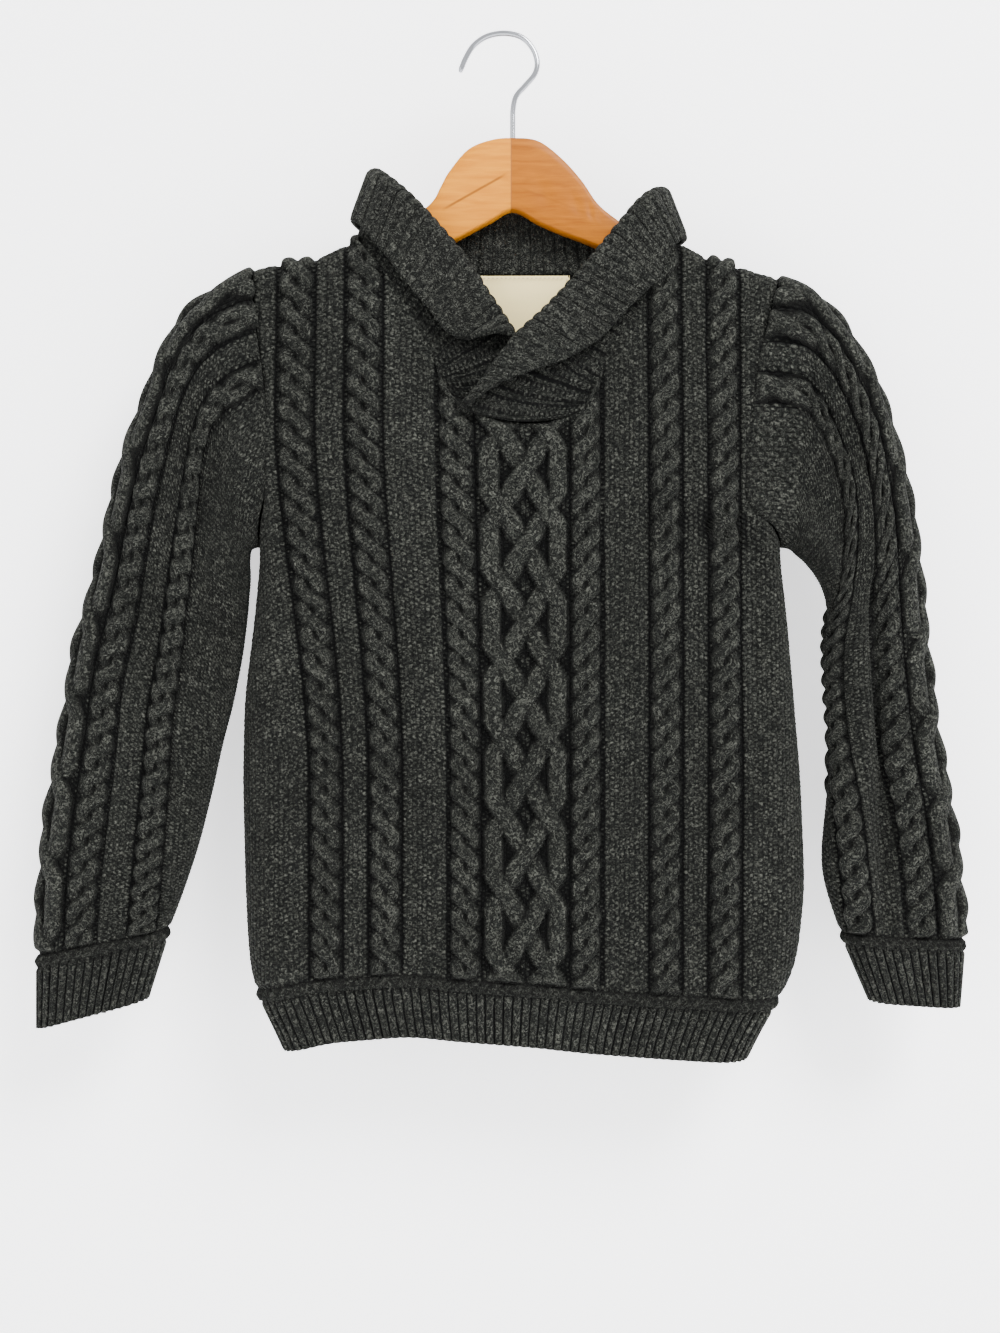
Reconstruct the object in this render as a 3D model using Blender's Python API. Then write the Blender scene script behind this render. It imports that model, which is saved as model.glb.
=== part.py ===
"""Cable knit sweater with a shawl collar, hung flat on a wooden hanger.

The model's own frame: the origin is the inner top of the hook, where it hangs,
+X is the wearer's left (right as seen from the front), -Y is the front and +Z is up.
Sizes below are in millimetres, and points are turned into metres as each mesh is made.
"""
import math

import bmesh
import bpy
from mathutils import Vector

MM = 0.001

# Cloth
WALL = 3.0             # thickness of the knitted wall
SEAM_GAP = 0.35        # between two pieces at a seam
INNER_SPACING = 52.0   # rows on the plain inside of a panel
SIDE_SPACING = 15.0    # rows of the strips along the side seams and armholes
CORNER_BLEND = 0.7     # share of a side strip from which it turns towards the armhole
ROW_CLEARANCE = 3.0    # least distance of a row below a neckline
TOP_CLEARANCE = 2.5    # least distance of a row below the top of its column
ROLL_SHARE = 0.6       # how much of a cable's rise stays on the shoulder
ROLL_STEP = 9.0        # last row of the inside below a neckline
WELT_GAP = 0.9         # above a hem and round an armhole, where the seam bends
SHOULDER_ROUND = 10.0  # radius of the cloth over the hanger's arms
DEEPENING = 110.0      # distance below the shoulder roll where the body is at its full depth

# Cable pattern, measured from the centre of the braid
CABLE_CENTRE = 12.0
BRAID_PERIOD = 45.0
BRAID_RISE = 3.6
ROPE_PITCH = 15.0
ROPE_RISE = 3.3
ROPE_DIP = 1.3
ROPE_SLANT = 2.2       # rise or fall of a rope's twist at its two inner columns
STRAND_SHARE = 0.24    # those columns' distance from the rope's middle, as a share of its width
EDGE_SPACING = 30.0    # rows down the purl groove beside a rope
ROPES = ((26.0, 45.0), (73.0, 92.0), (108.0, 127.0))
FAN_LEFT = 0.16        # how far the ropes spread towards the viewer's left shoulder
FAN_RIGHT = 0.0

# Body sections: height, left side, right side, half depth
BODY_SECTIONS = (
    (-616.0, -128.0, 142.5, 19.0),
    (-598.0, -136.0, 151.0, 19.0),
    (-582.0, -144.0, 160.0, 19.5),
    (-568.0, -151.0, 170.0, 20.0),
    (-550.0, -153.5, 175.5, 21.0),
    (-510.0, -155.5, 179.5, 22.0),
    (-446.0, -157.0, 177.0, 22.0),
    (-398.0, -156.0, 173.0, 22.0),
    (-350.0, -150.0, 169.0, 21.0),
    (-307.0, -146.0, 164.0, 20.0),
    (-283.0, -151.0, 167.0, 20.0),
    (-250.0, -162.0, 173.0, 20.0),
    (-224.0, -170.0, 181.0, 19.0),
    (-110.0, -178.0, 192.0, 18.0),
)

# Shoulder line of the cloth: across, height
SHOULDER = (
    (-180.0, -146.0), (-150.5, -140.5), (-135.3, -137.3), (-113.3, -134.5), (-89.0, -122.4),
    (102.0, -123.0), (120.0, -133.3), (139.0, -138.6), (163.0, -146.0), (190.0, -150.0),
)

# Front neckline: across, height
NECKLINE = (
    (-88.8, -122.4), (-65.7, -148.4), (-54.5, -168.4), (-41.1, -194.1), (-36.0, -211.1),
    (-28.0, -221.0), (-5.3, -231.8), (10.0, -235.2), (24.5, -234.6), (43.0, -229.0), (52.0, -214.0),
    (60.8, -191.2), (77.2, -165.4), (101.5, -123.0),
)
BACK_NECK_DROP = 17.5  # the back neckline below the shoulder's neck point
NECK_CENTRE = 6.3

# Seam between the body and the hem: across, height
HEM_SEAM = (
    (-161.0, -571.0), (-147.0, -570.0), (-115.0, -563.5), (-61.0, -559.5), (-33.0, -562.5),
    (12.0, -565.5), (57.0, -569.5), (139.0, -575.0), (166.0, -575.5), (181.0, -575.5),
)
HEM_HEIGHT = 36.0

# Armhole of a panel from the shoulder to the armpit: height, place across
ARMHOLE_LEFT = (
    (-141.0, -150.5), (-175.0, -148.0), (-194.0, -145.0), (-224.0, -141.0), (-255.0, -141.5),
    (-283.0, -142.7),
)
ARMHOLE_RIGHT = (
    (-147.5, 163.0), (-175.0, 155.5), (-201.0, 149.0), (-238.0, 144.5), (-262.0, 142.5),
    (-283.0, 142.0),
)
ARMPIT = -307.0
SIDE_SEAM_FOOT = -571.0         # height where the side seams meet the hem
SIDE_INSET = 20.0               # from the side seam in to the column that bounds its strip
SIDE_SHARES = (0.35, 0.7, 1.0)  # columns from the armhole's corner out to the side seam

# Largest folds of the body: first point, last point, half width, depth
BODY_FOLDS = (
    ((136.0, -200.0), (150.0, -395.0), 13.0, 5.0),
    ((-66.0, -330.0), (-50.0, -560.0), 12.0, 2.5),
    ((108.0, -470.0), (118.0, -575.0), 16.0, 2.5),
)

# Sleeve rings: outer x, outer z, inner x, inner z, half depth
SLEEVE_LEFT = (
    (-151.0, -141.5, -146.5, -306.5, 18.0),
    (-170.0, -152.5, -152.5, -308.5, 18.0),
    (-188.0, -165.5, -154.0, -317.0, 18.0),
    (-203.0, -188.0, -153.5, -327.0, 18.0),
    (-213.5, -216.0, -154.3, -338.0, 18.0),
    (-226.5, -252.0, -155.3, -352.0, 17.5),
    (-236.5, -289.0, -158.0, -376.0, 17.0),
    (-244.5, -327.0, -163.0, -402.0, 17.0),
    (-256.5, -369.0, -170.0, -427.0, 16.5),
    (-264.5, -415.0, -177.0, -457.0, 16.0),
    (-272.0, -462.0, -184.0, -487.0, 15.5),
    (-277.5, -507.0, -192.5, -513.0, 15.0),
    (-280.0, -550.5, -201.5, -534.5, 14.0),
)
CUFF_LEFT = ((-280.0, -551.3, -201.7, -535.3, 14.0), (-280.0, -594.5, -214.8, -577.0, 13.0))
SLEEVE_RIGHT = (
    (163.5, -148.0, 164.5, -306.5, 18.0),
    (178.0, -152.5, 171.0, -308.0, 18.0),
    (196.0, -166.5, 175.0, -311.5, 18.0),
    (211.0, -189.0, 180.5, -316.5, 18.0),
    (224.5, -217.0, 186.0, -323.5, 18.0),
    (235.5, -255.0, 191.0, -333.0, 17.5),
    (243.0, -292.0, 194.0, -346.0, 17.0),
    (248.5, -335.0, 194.0, -366.0, 17.0),
    (253.5, -378.0, 195.0, -393.0, 16.5),
    (259.0, -425.0, 196.0, -426.0, 16.0),
    (265.5, -462.0, 192.5, -459.0, 15.5),
    (271.5, -504.0, 191.0, -500.0, 15.0),
    (275.0, -541.0, 201.5, -537.0, 14.0),
)
CUFF_RIGHT = ((275.0, -541.9, 201.7, -537.9, 14.0), (272.0, -581.5, 219.0, -578.0, 13.0))
SLEEVE_ROPES = ((26.0, 45.0), (65.0, 81.0))
UNDERARM_START = 81.0          # the underarm's plain strip starts here
SLEEVE_INNER = (0.0, 8.0, 16.0, 26.0, 36.0, 46.0, 58.0)  # columns of the plain inside
SLEEVE_SPACING = 30.0          # rows of the plain inside and of the underarm
UNDERARM_SHARES = (0.25, 0.5, 0.75)
SLEEVE_MIDDLE = 36.0           # cloth distance of the line along which a sleeve is measured
ARMHOLE_BLEND = 1.2            # rings over which the armhole's form dies out
SLEEVE_FOLDS_LEFT = (
    ((-163.0, -222.0), (-180.0, -300.0), 9.0, 4.5),
    ((-180.0, -300.0), (-178.0, -352.0), 9.0, 4.5),
)
SLEEVE_FOLDS_RIGHT = (
    ((222.0, -338.0), (226.0, -520.0), 9.0, 3.4),
    ((178.0, -215.0), (214.0, -262.0), 9.0, 3.5),
)

# Ribs
HEM_RIB = 5.5
CUFF_RIB = 5.5
RIB_RISE = 1.3
PLAIT_RISE = 2.0
COLLAR_RIB = 7.0
COLLAR_WALL = 3.4
COLLAR_LIFT = 2.0      # the collar's edge above the middle of the neck edge
COLLAR_CORNERS = (-28.0, 43.0)  # where the neckline's bottom ends, across
COLLAR_WAVE = 0.7      # how far a collar rib stands out on either face

# Collar from the viewer's right end round the back to the left end.
# part of the neckline and the height (front) or place across (back) of its seam there;
# fold x, y, z; outward x, y, z; turn of the fold in degrees; cloth past the fold;
# drop of the section's middle
COLLAR = (
    ("right", -228.0, -26.5, -24.5, -223.0, 0.0, -1.0, 0.0, 150.0, 3.0, 8.6),
    ("right", -224.0, -17.5, -24.5, -212.0, 0.0, -1.0, 0.1, 165.0, 9.0, 6.5),
    ("right", -219.0, -8.0, -25.0, -200.0, 0.0, -1.0, 0.1, 176.0, 17.0, 3.0),
    ("right", -211.0, 6.0, -24.5, -184.0, 0.0, -1.0, 0.1, 178.0, 26.0, 0.0),
    ("right", -191.0, 22.5, -21.0, -168.0, 0.1, -1.0, 0.1, 180.0, 31.0, 0.0),
    ("right", -168.0, 39.0, -16.0, -150.0, 0.2, -1.0, 0.1, 180.0, 32.0, 0.0),
    ("right", -151.0, 54.5, -17.0, -131.5, 0.3, -1.0, 0.1, 180.0, 33.0, 0.0),
    ("right", -133.0, 76.5, -16.5, -104.0, 0.7, -1.0, 0.2, 180.0, 29.0, 0.0),
    ("right", -123.0, 88.5, 0.5, -93.0, 1.0, 0.0, 0.3, 180.0, 29.0, 0.0),
    ("back", 88.0, 80.0, 10.5, -99.0, 0.7, 1.0, 0.1, 180.0, 29.0, 0.0),
    ("back", 72.0, 66.0, 13.5, -109.5, 0.3, 1.0, 0.0, 180.0, 29.0, 0.0),
    ("back", 45.0, 42.0, 14.5, -107.0, 0.1, 1.0, 0.0, 180.0, 31.0, 0.0),
    ("back", 6.0, 6.0, 15.5, -99.5, 0.0, 1.0, 0.0, 180.0, 33.0, 0.0),
    ("back", -42.0, -34.0, 14.5, -104.5, -0.1, 1.0, 0.0, 180.0, 32.0, 0.0),
    ("back", -62.0, -50.0, 13.5, -101.0, -0.3, 1.0, 0.0, 180.0, 30.0, 0.0),
    ("back", -78.0, -63.0, 11.0, -90.5, -0.7, 1.0, 0.1, 180.0, 29.0, 0.0),
    ("left", -123.0, -72.5, 0.5, -81.5, -1.0, 0.0, 0.3, 180.0, 29.0, 0.0),
    ("left", -139.0, -57.0, -12.5, -96.5, -1.0, -0.8, 0.2, 180.0, 31.0, 0.0),
    ("left", -149.0, -44.5, -13.5, -110.0, -0.5, -1.0, 0.1, 180.0, 32.0, 0.0),
    ("left", -168.0, -28.5, -12.5, -129.0, -0.2, -1.0, 0.1, 180.0, 33.0, 0.0),
    ("left", -178.0, -20.0, -11.5, -140.5, -0.1, -1.0, 0.1, 180.0, 32.0, 0.0),
    ("left", -193.0, -9.0, -8.5, -158.0, -0.1, -1.0, 0.1, 180.0, 30.0, 0.0),
    ("left", -200.0, -1.0, -6.5, -170.0, 0.0, -1.0, 0.1, 176.0, 22.0, 0.0),
    ("left", -207.0, 8.0, -6.5, -185.0, 0.0, -1.0, 0.1, 110.0, 3.0, 1.0),
    ("left", -213.0, 20.0, -8.0, -203.0, 0.0, -1.0, 0.0, 25.0, 3.0, 4.0),
    ("left", -221.0, 38.0, -10.8, -227.0, 0.0, -1.0, 0.0, 0.0, 3.0, 8.6),
)
FOLD_ARC = 12.0        # cloth taken up by the turn of the fold
FLAT_ARC = 40.0        # the same length of the section where an end lies flat
FLAT_TURN = 40.0       # turn from which the fold has its own short arc again

# Hanger: across, top edge, lower edge
HANGER_STATIONS = (
    (-140.0, -147.0, -162.0), (-128.0, -143.5, -166.0), (-111.0, -141.0, -163.5),
    (-88.8, -134.5, -155.0), (-78.0, -129.5, -149.5), (-66.0, -118.5, -142.5),
    (-45.0, -101.5, -131.5), (-38.5, -91.0, -128.0), (-33.6, -82.2, -125.5),
    (-22.2, -68.8, -119.5), (-8.4, -63.0, -112.0), (4.8, -61.8, -105.5), (19.8, -63.6, -113.0),
    (33.6, -73.8, -119.0), (45.6, -87.0, -123.5), (55.2, -100.8, -127.5),
    (66.0, -110.0, -132.0), (84.0, -122.5, -141.5), (101.5, -133.0, -151.5),
    (117.0, -140.5, -160.0), (140.0, -148.0, -167.0), (151.0, -153.5, -164.0),
)
HANGER_THICK = 11.0
HANGER_EDGE = 3.2

# Hook wire's centre line, from its free end to the wood: across, height
HOOK_WIRE = 1.7
HOOK_LINE = (
    (-27.0, -21.6), (-23.6, -13.2), (-18.6, -5.4), (-10.5, 0.0), (0.0, 1.7), (9.8, -0.6),
    (16.4, -7.2), (19.3, -15.6), (17.8, -22.8), (12.2, -29.6), (6.6, -36.2), (4.8, -44.0),
    (4.6, -52.0), (4.6, -61.2),
)

# Label sewn inside the back neck
LABEL_CENTRE = 12.0
LABEL_WIDTH = 54.0
LABEL_HEIGHT = 38.0
LABEL_TOP = -142.5
LABEL_THICK = 0.8
LABEL_GAP = 0.5        # between the label and the back's inside


def smooth(t):
    """Rises from 0 to 1 with level ends."""
    t = min(1.0, max(0.0, t))
    return t * t * (3.0 - 2.0 * t)


def look_up(rows, key, column):
    """Straight-line value of a column at a key, from rows sorted either way."""
    if rows[0][0] > rows[-1][0]:
        rows = rows[::-1]
    if key <= rows[0][0]:
        return rows[0][column]
    for low, high in zip(rows, rows[1:]):
        if key <= high[0]:
            share = (key - low[0]) / (high[0] - low[0])
            return low[column] + share * (high[column] - low[column])
    return rows[-1][column]


def spline_row(rows, place):
    """Catmull-Rom row at a fractional place in a table."""
    last = len(rows) - 1
    index = min(last - 1, max(0, int(place)))
    t = place - index
    before = rows[max(0, index - 1)]
    start = rows[index]
    end = rows[index + 1]
    after = rows[min(last, index + 2)]
    result = []
    for p0, p1, p2, p3 in zip(before, start, end, after):
        linear = (p2 - p0) * t
        square = (2.0 * p0 - 5.0 * p1 + 4.0 * p2 - p3) * t * t
        cube = (3.0 * p1 - p0 - 3.0 * p2 + p3) * t * t * t
        result.append(0.5 * (2.0 * p1 + linear + square + cube))
    return result


def fold_depth(folds, x, z):
    """Depth of the soft troughs at a point seen from the front."""
    depth = 0.0
    for (x0, z0), (x1, z1), half_width, deep in folds:
        run_x = x1 - x0
        run_z = z1 - z0
        length = math.hypot(run_x, run_z)
        along = ((x - x0) * run_x + (z - z0) * run_z) / length
        aside = abs((x - x0) * run_z - (z - z0) * run_x) / length
        beyond = max(0.0, -along, along - length)
        fade = math.exp(-((beyond / (2.0 * half_width)) ** 2))
        ends = 0.6 + 0.4 * smooth(min(along, length - along) / 30.0)
        depth += deep * ends * fade * math.exp(-((aside / half_width) ** 2))
    return depth


# The body's surface

def body_side(z, column):
    return look_up(BODY_SECTIONS, z, column)


def cloth_drop(v):
    """Drop below the shoulder line at a cloth distance v from it, and the depth there."""
    roll = SHOULDER_ROUND * math.pi / 2.0
    if v < roll:
        angle = v / SHOULDER_ROUND
        return SHOULDER_ROUND * (1.0 - math.cos(angle)), SHOULDER_ROUND * math.sin(angle)
    return SHOULDER_ROUND + v - roll, None


def cloth_distance(across, z):
    """Cloth distance below the shoulder line of a height."""
    drop = look_up(SHOULDER, across, 1) - z
    if drop < SHOULDER_ROUND:
        return SHOULDER_ROUND * math.acos(1.0 - max(0.0, drop) / SHOULDER_ROUND)
    return drop - SHOULDER_ROUND + SHOULDER_ROUND * math.pi / 2.0


def side_seam(z, left):
    """Place across, along the cloth, of a side seam."""
    depth = body_side(z, 3)
    if left:
        return body_side(z, 1) + depth - depth * math.pi / 2.0
    return body_side(z, 2) - depth + depth * math.pi / 2.0


def body_point(face, across, v):
    """Point of the body's outer surface; face is -1 in front and 1 behind."""
    drop, rolled = cloth_drop(v)
    z = look_up(SHOULDER, across, 1) - drop
    full = body_side(z, 3)
    if rolled is None:
        share = smooth((drop - SHOULDER_ROUND) / DEEPENING)
        depth = SHOULDER_ROUND + (full - SHOULDER_ROUND) * share
    else:
        depth = rolled
    x = across
    start_left = body_side(z, 1) + full
    start_right = body_side(z, 2) - full
    if across < start_left:
        angle = (start_left - across) / full
        x = start_left - full * math.sin(angle)
        depth *= math.cos(angle)
    elif across > start_right:
        angle = (across - start_right) / full
        x = start_right + full * math.sin(angle)
        depth *= math.cos(angle)
    depth -= fold_depth(BODY_FOLDS, x, z) * smooth(depth / full)
    return Vector((x, face * depth, z))


def body_normal(face, across, v):
    step = 0.8
    low = max(0.0, v - step)
    along = body_point(face, across + step, v) - body_point(face, across - step, v)
    down = body_point(face, across, v + step) - body_point(face, across, low)
    normal = along.cross(down) * face
    return normal.normalized()


def cable_across(offset, z):
    """Place across of a cable column, fanned out towards the shoulders."""
    fan = smooth((z + 446.0) / 224.0)
    spread = FAN_LEFT if offset < 0.0 else FAN_RIGHT
    return CABLE_CENTRE + offset * (1.0 + spread * fan)


def rope_height(row):
    return ROPE_RISE if row % 2 == 0 else ROPE_DIP


# Share of the braid's rise at each quarter of its period: centre, then 6, 12 and 19 mm out
BRAID_TABLE = (
    (0.2, 0.6, 1.0, 0.5),
    (0.4, 0.9, 0.4, 1.0),
    (1.0, 0.5, 0.1, 1.0),
    (0.4, 0.9, 0.4, 1.0),
)
BRAID_COLUMNS = (0.0, 6.0, 12.0, 19.0)


# Meshes

class Cloth:
    """Vertices and faces of one closed piece."""

    def __init__(self, name):
        self.name = name
        self.bm = bmesh.new()

    def vertex(self, point):
        return self.bm.verts.new(point * MM)

    def face(self, *corners):
        distinct = []
        for corner in corners:
            if corner not in distinct:
                distinct.append(corner)
        if len(distinct) > 2:
            self.bm.faces.new(distinct)

    def zip_up(self, first, second):
        """Joins two rows of (vertex, key, height) with triangles."""
        i = 0
        j = 0
        tie = 0.6
        while i < len(first) - 1 or j < len(second) - 1:
            next_first = first[i + 1][1] if i < len(first) - 1 else math.inf
            next_second = second[j + 1][1] if j < len(second) - 1 else math.inf
            step_first = next_first < next_second
            if abs(next_first - next_second) < tie:
                rising = first[i][2] + second[j + 1][2]
                falling = first[i + 1][2] + second[j][2]
                step_first = falling >= rising
            if step_first:
                self.face(first[i][0], second[j][0], first[i + 1][0])
                i += 1
            else:
                self.face(first[i][0], second[j][0], second[j + 1][0])
                j += 1

    def finish(self, material):
        bmesh.ops.recalc_face_normals(self.bm, faces=self.bm.faces)
        bmesh.ops.triangulate(self.bm, faces=self.bm.faces)
        mesh = bpy.data.meshes.new(self.name)
        self.bm.to_mesh(mesh)
        self.bm.free()
        return place(self.name, mesh, material)


def place(name, mesh, material):
    piece = bpy.data.objects.new(name, mesh)
    mesh.materials.append(material)
    garment.objects.link(piece)
    mesh.shade_smooth()
    mesh.set_sharp_from_angle(angle=math.radians(50.0))
    return piece


def by_length(points):
    """Running lengths along a row of points."""
    total = 0.0
    lengths = [0.0]
    for one, other in zip(points, points[1:]):
        total += (other - one).length
        lengths.append(total)
    return lengths


def rim(cloth, outer, inner):
    """Closes the wall's edge between an outer and an inner row of (vertex, base point)."""
    outer_keys = by_length([base for vertex, base in outer])
    inner_keys = by_length([base for vertex, base in inner])
    scale = outer_keys[-1] / inner_keys[-1]
    first = [(row[0], key, 0.0) for row, key in zip(outer, outer_keys)]
    second = [(row[0], key * scale, 0.0) for row, key in zip(inner, inner_keys)]
    cloth.zip_up(first, second)


# Front and back panels

def panel_columns(fine):
    """Columns of a panel: offset from the cables' centre, row spacing, row shift and kind."""
    columns = []
    for side in (-1, 1):
        for first, last in ROPES:
            columns.append((side * first, EDGE_SPACING, 0.0, "edge"))
            columns.append((side * last, EDGE_SPACING, 0.0, "edge"))
            middle = (first + last) / 2.0
            aside = (last - first) * STRAND_SHARE
            half_pitch = ROPE_PITCH / 2.0
            if fine:
                columns.append((side * (middle - aside), half_pitch, ROPE_SLANT, "rope"))
                columns.append((side * (middle + aside), half_pitch, -ROPE_SLANT, "rope"))
            else:
                columns.append((side * middle, half_pitch, 0.0, "rope"))
        for number, offset in enumerate(BRAID_COLUMNS):
            if offset > 0.0:
                columns.append((side * offset, BRAID_PERIOD / 4.0, 0.0, "braid%d" % number))
    columns.append((0.0, BRAID_PERIOD / 4.0, 0.0, "braid0"))
    columns.sort()
    return columns


def height_at(kind, row):
    if kind == "rope":
        return rope_height(row)
    if kind.startswith("braid"):
        return BRAID_RISE * BRAID_TABLE[row % 4][int(kind[5:])]
    return 0.0


def neck_height(face, across):
    """Height of the neckline, or None outside it."""
    if across <= NECKLINE[0][0] or across >= NECKLINE[-1][0]:
        return None
    if face < 0:
        return look_up(NECKLINE, across, 1)
    reach = abs(across - NECK_CENTRE) / (NECKLINE[-1][0] - NECK_CENTRE)
    return NECKLINE[0][1] - BACK_NECK_DROP * (1.0 - reach ** 3)


def column_rows(face, offset, spacing, shift, kind):
    """Rows (across, v, height) of a column, from the hem seam to its top."""
    base_across = cable_across(offset, SIDE_SEAM_FOOT)
    bottom = look_up(HEM_SEAM, base_across, 1)
    rows = [(base_across, bottom, 0.0)]
    number = 0
    while True:
        number += 1
        z = bottom + number * spacing + shift
        across = cable_across(offset, z)
        top = neck_height(face, across)
        if top is None:
            top = look_up(SHOULDER, across, 1) - SHOULDER_ROUND
        if z > top - TOP_CLEARANCE:
            break
        rows.append((across, z, height_at(kind, number)))
    across = cable_across(offset, top)
    neck = neck_height(face, across)
    result = [(q, cloth_distance(q, z), height) for q, z, height in rows]
    if neck is None:
        roll = SHOULDER_ROUND * math.pi / 2.0
        last = height_at(kind, number) * ROLL_SHARE
        result.append((across, roll, last))
        result.append((across, roll / 2.0, last * ROLL_SHARE))
        result.append((across, 0.0, 0.0))
    else:
        top_v = cloth_distance(across, neck)
        while result[-1][1] < top_v + ROW_CLEARANCE:
            result.pop()
        if result[-1][1] > top_v + 2.0 * ROLL_STEP:
            result.append((across, top_v + ROLL_STEP, 0.0))
        result.append((across, top_v, 0.0))
    return result


def armhole_rows(left, spacing):
    """Rows of the column that runs up beside the side strip and on along the armhole."""
    table = ARMHOLE_LEFT if left else ARMHOLE_RIGHT
    corner = table[-1]
    foot = side_seam(SIDE_SEAM_FOOT, left) + (SIDE_INSET if left else -SIDE_INSET)
    bottom = look_up(HEM_SEAM, foot, 1)
    rows = [(foot, bottom)]
    count = int((corner[0] - bottom) / spacing)
    for number in range(1, count):
        share = number / count
        z = bottom + share * (corner[0] - bottom)
        seam = side_seam(z, left)
        across = seam + SIDE_INSET if left else seam - SIDE_INSET
        across += (corner[1] - across) * smooth((share - CORNER_BLEND) / (1.0 - CORNER_BLEND))
        rows.append((across, z))
    rows.append((corner[1], corner[0]))
    corner_index = len(rows) - 1
    result = [(q, cloth_distance(q, z), 0.0) for q, z in rows]
    for z, across in table[-2:0:-1]:
        result.append((across, cloth_distance(across, z), 0.0))
    top = table[0][1]
    roll = SHOULDER_ROUND * math.pi / 2.0
    result.append((top, roll, 0.0))
    result.append((top, roll / 2.0, 0.0))
    result.append((top, 0.0, 0.0))
    return result, corner_index


def side_rows(left, share_out, spacing):
    """Rows of a column between the armhole column and the side seam."""
    table = ARMHOLE_LEFT if left else ARMHOLE_RIGHT
    corner = table[-1]
    bend = math.sin(share_out * math.pi / 2.0)
    top = corner[0] + (ARMPIT - corner[0]) * bend
    across_top = corner[1] + (side_seam(ARMPIT, left) - corner[1]) * share_out
    inset = SIDE_INSET * (1.0 - share_out)
    foot = side_seam(SIDE_SEAM_FOOT, left) + (inset if left else -inset)
    bottom_z = look_up(HEM_SEAM, foot, 1)
    rows = []
    count = int((top - bottom_z) / spacing)
    for number in range(count):
        share = number / count
        z = bottom_z + share * (top - bottom_z)
        seam = side_seam(z, left)
        across = seam + inset if left else seam - inset
        across += (across_top - across) * smooth((share - CORNER_BLEND) / (1.0 - CORNER_BLEND))
        rows.append((across, z))
    rows.append((across_top, top))
    return [(q, cloth_distance(q, z), 0.0) for q, z in rows]


def build_sheet(cloth, face, fine, inner):
    """One surface of a panel. Returns its rows of (vertex, base point) along the edges."""
    columns = []
    corners = {}
    spacing = INNER_SPACING if inner else SIDE_SPACING
    for share_out in SIDE_SHARES[::-1]:
        columns.append(side_rows(True, share_out, spacing))
    rows, corner = armhole_rows(True, spacing)
    corners[len(columns)] = corner
    columns.append(rows)
    if inner:
        for offset, step, shift, kind in panel_columns(fine):
            columns.append(column_rows(face, offset, INNER_SPACING, 0.0, "edge"))
    else:
        for offset, step, shift, kind in panel_columns(fine):
            columns.append(column_rows(face, offset, step, shift, kind))
    rows, corner = armhole_rows(False, spacing)
    corners[len(columns)] = corner
    columns.append(rows)
    for share_out in SIDE_SHARES:
        columns.append(side_rows(False, share_out, spacing))

    built = []
    for rows in columns:
        length = rows[0][1]
        line = []
        for across, v, height in rows:
            base = body_point(face, across, v)
            normal = body_normal(face, across, v)
            out = height
            if v < SHOULDER_ROUND * math.pi / 2.0 - 0.01 and not inner:
                out = ROLL_SHARE * height
            point = base - normal * WALL if inner else base + normal * out
            if v == 0.0:
                point.y = face * SEAM_GAP / 2.0
            line.append([cloth.vertex(point), length - v, height, base])
        built.append(line)

    # Side seams stop a little short of the other panel
    for line in (built[0], built[-1]):
        for entry in line:
            entry[0].co.y = face * SEAM_GAP / 2.0 * MM

    left_corner = min(corners)
    right_corner = max(corners)
    for number in range(len(built) - 1):
        first = built[number]
        second = built[number + 1]
        if number + 1 == left_corner:
            second = second[:corners[left_corner] + 1]
        if number == right_corner:
            first = first[:corners[right_corner] + 1]
        if (face < 0) != inner:
            cloth.zip_up([e[:3] for e in first], [e[:3] for e in second])
        else:
            cloth.zip_up([e[:3] for e in second], [e[:3] for e in first])

    def pair(entry):
        return (entry[0], entry[3])

    bottom = [pair(line[0]) for line in built]
    left = [pair(entry) for entry in built[0]]
    right = [pair(entry) for entry in built[-1]]
    left_arm = [pair(line[-1]) for line in built[:left_corner]]
    left_arm += [pair(entry) for entry in built[left_corner][corners[left_corner]:]]
    right_arm = [pair(line[-1]) for line in built[:right_corner:-1]]
    right_arm += [pair(entry) for entry in built[right_corner][corners[right_corner]:]]
    top = [pair(line[-1]) for line in built[left_corner:right_corner + 1]]
    return {"bottom": bottom, "left": left, "right": right, "left_arm": left_arm,
            "right_arm": right_arm, "top": top}


def make_panel(name, face, fine, material):
    cloth = Cloth(name)
    outer = build_sheet(cloth, face, fine, False)
    inner = build_sheet(cloth, face, fine, True)
    for edge in outer:
        rim(cloth, outer[edge], inner[edge])
    return cloth.finish(material)


# Sleeves

def armhole_curve(left, face, share):
    """Point and normal of the armhole at a share of the way from shoulder to armpit."""
    rows, corner = armhole_rows(left, SIDE_SPACING)
    path = rows[:corner - 1:-1]
    for share_out in SIDE_SHARES:
        path.append(side_rows(left, share_out, SIDE_SPACING)[-1])
    points = [body_point(face, across, v) for across, v, height in path]
    lengths = by_length(points)
    wanted = share * lengths[-1]
    for index in range(len(points) - 1):
        if wanted <= lengths[index + 1] + 1e-9:
            part = (wanted - lengths[index]) / (lengths[index + 1] - lengths[index])
            break
    across0, v0, height0 = path[index]
    across1, v1, height1 = path[index + 1]
    normal0 = body_normal(face, across0, v0)
    normal1 = body_normal(face, across1, v1)
    if index == 0:
        normal0 = Vector((0.0, 0.0, 1.0))
    point = points[index].lerp(points[index + 1], part)
    normal = normal0.lerp(normal1, part).normalized()
    tangent = (points[index + 1] - points[index]).normalized()
    away = tangent.cross(normal) * face
    if left:
        away = -away
    return point, normal, away


def ring_lengths(row):
    """Half outline of a sleeve section: chord, corner round and cloth lengths."""
    chord = math.hypot(row[2] - row[0], row[3] - row[1])
    depth = row[4]
    rounding = min(depth * 1.15, chord * 0.35)
    quarter = math.pi / 2.0 * math.sqrt((rounding ** 2 + depth ** 2) / 2.0)
    flat = chord - 2.0 * rounding
    return chord, rounding, quarter, flat


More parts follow.
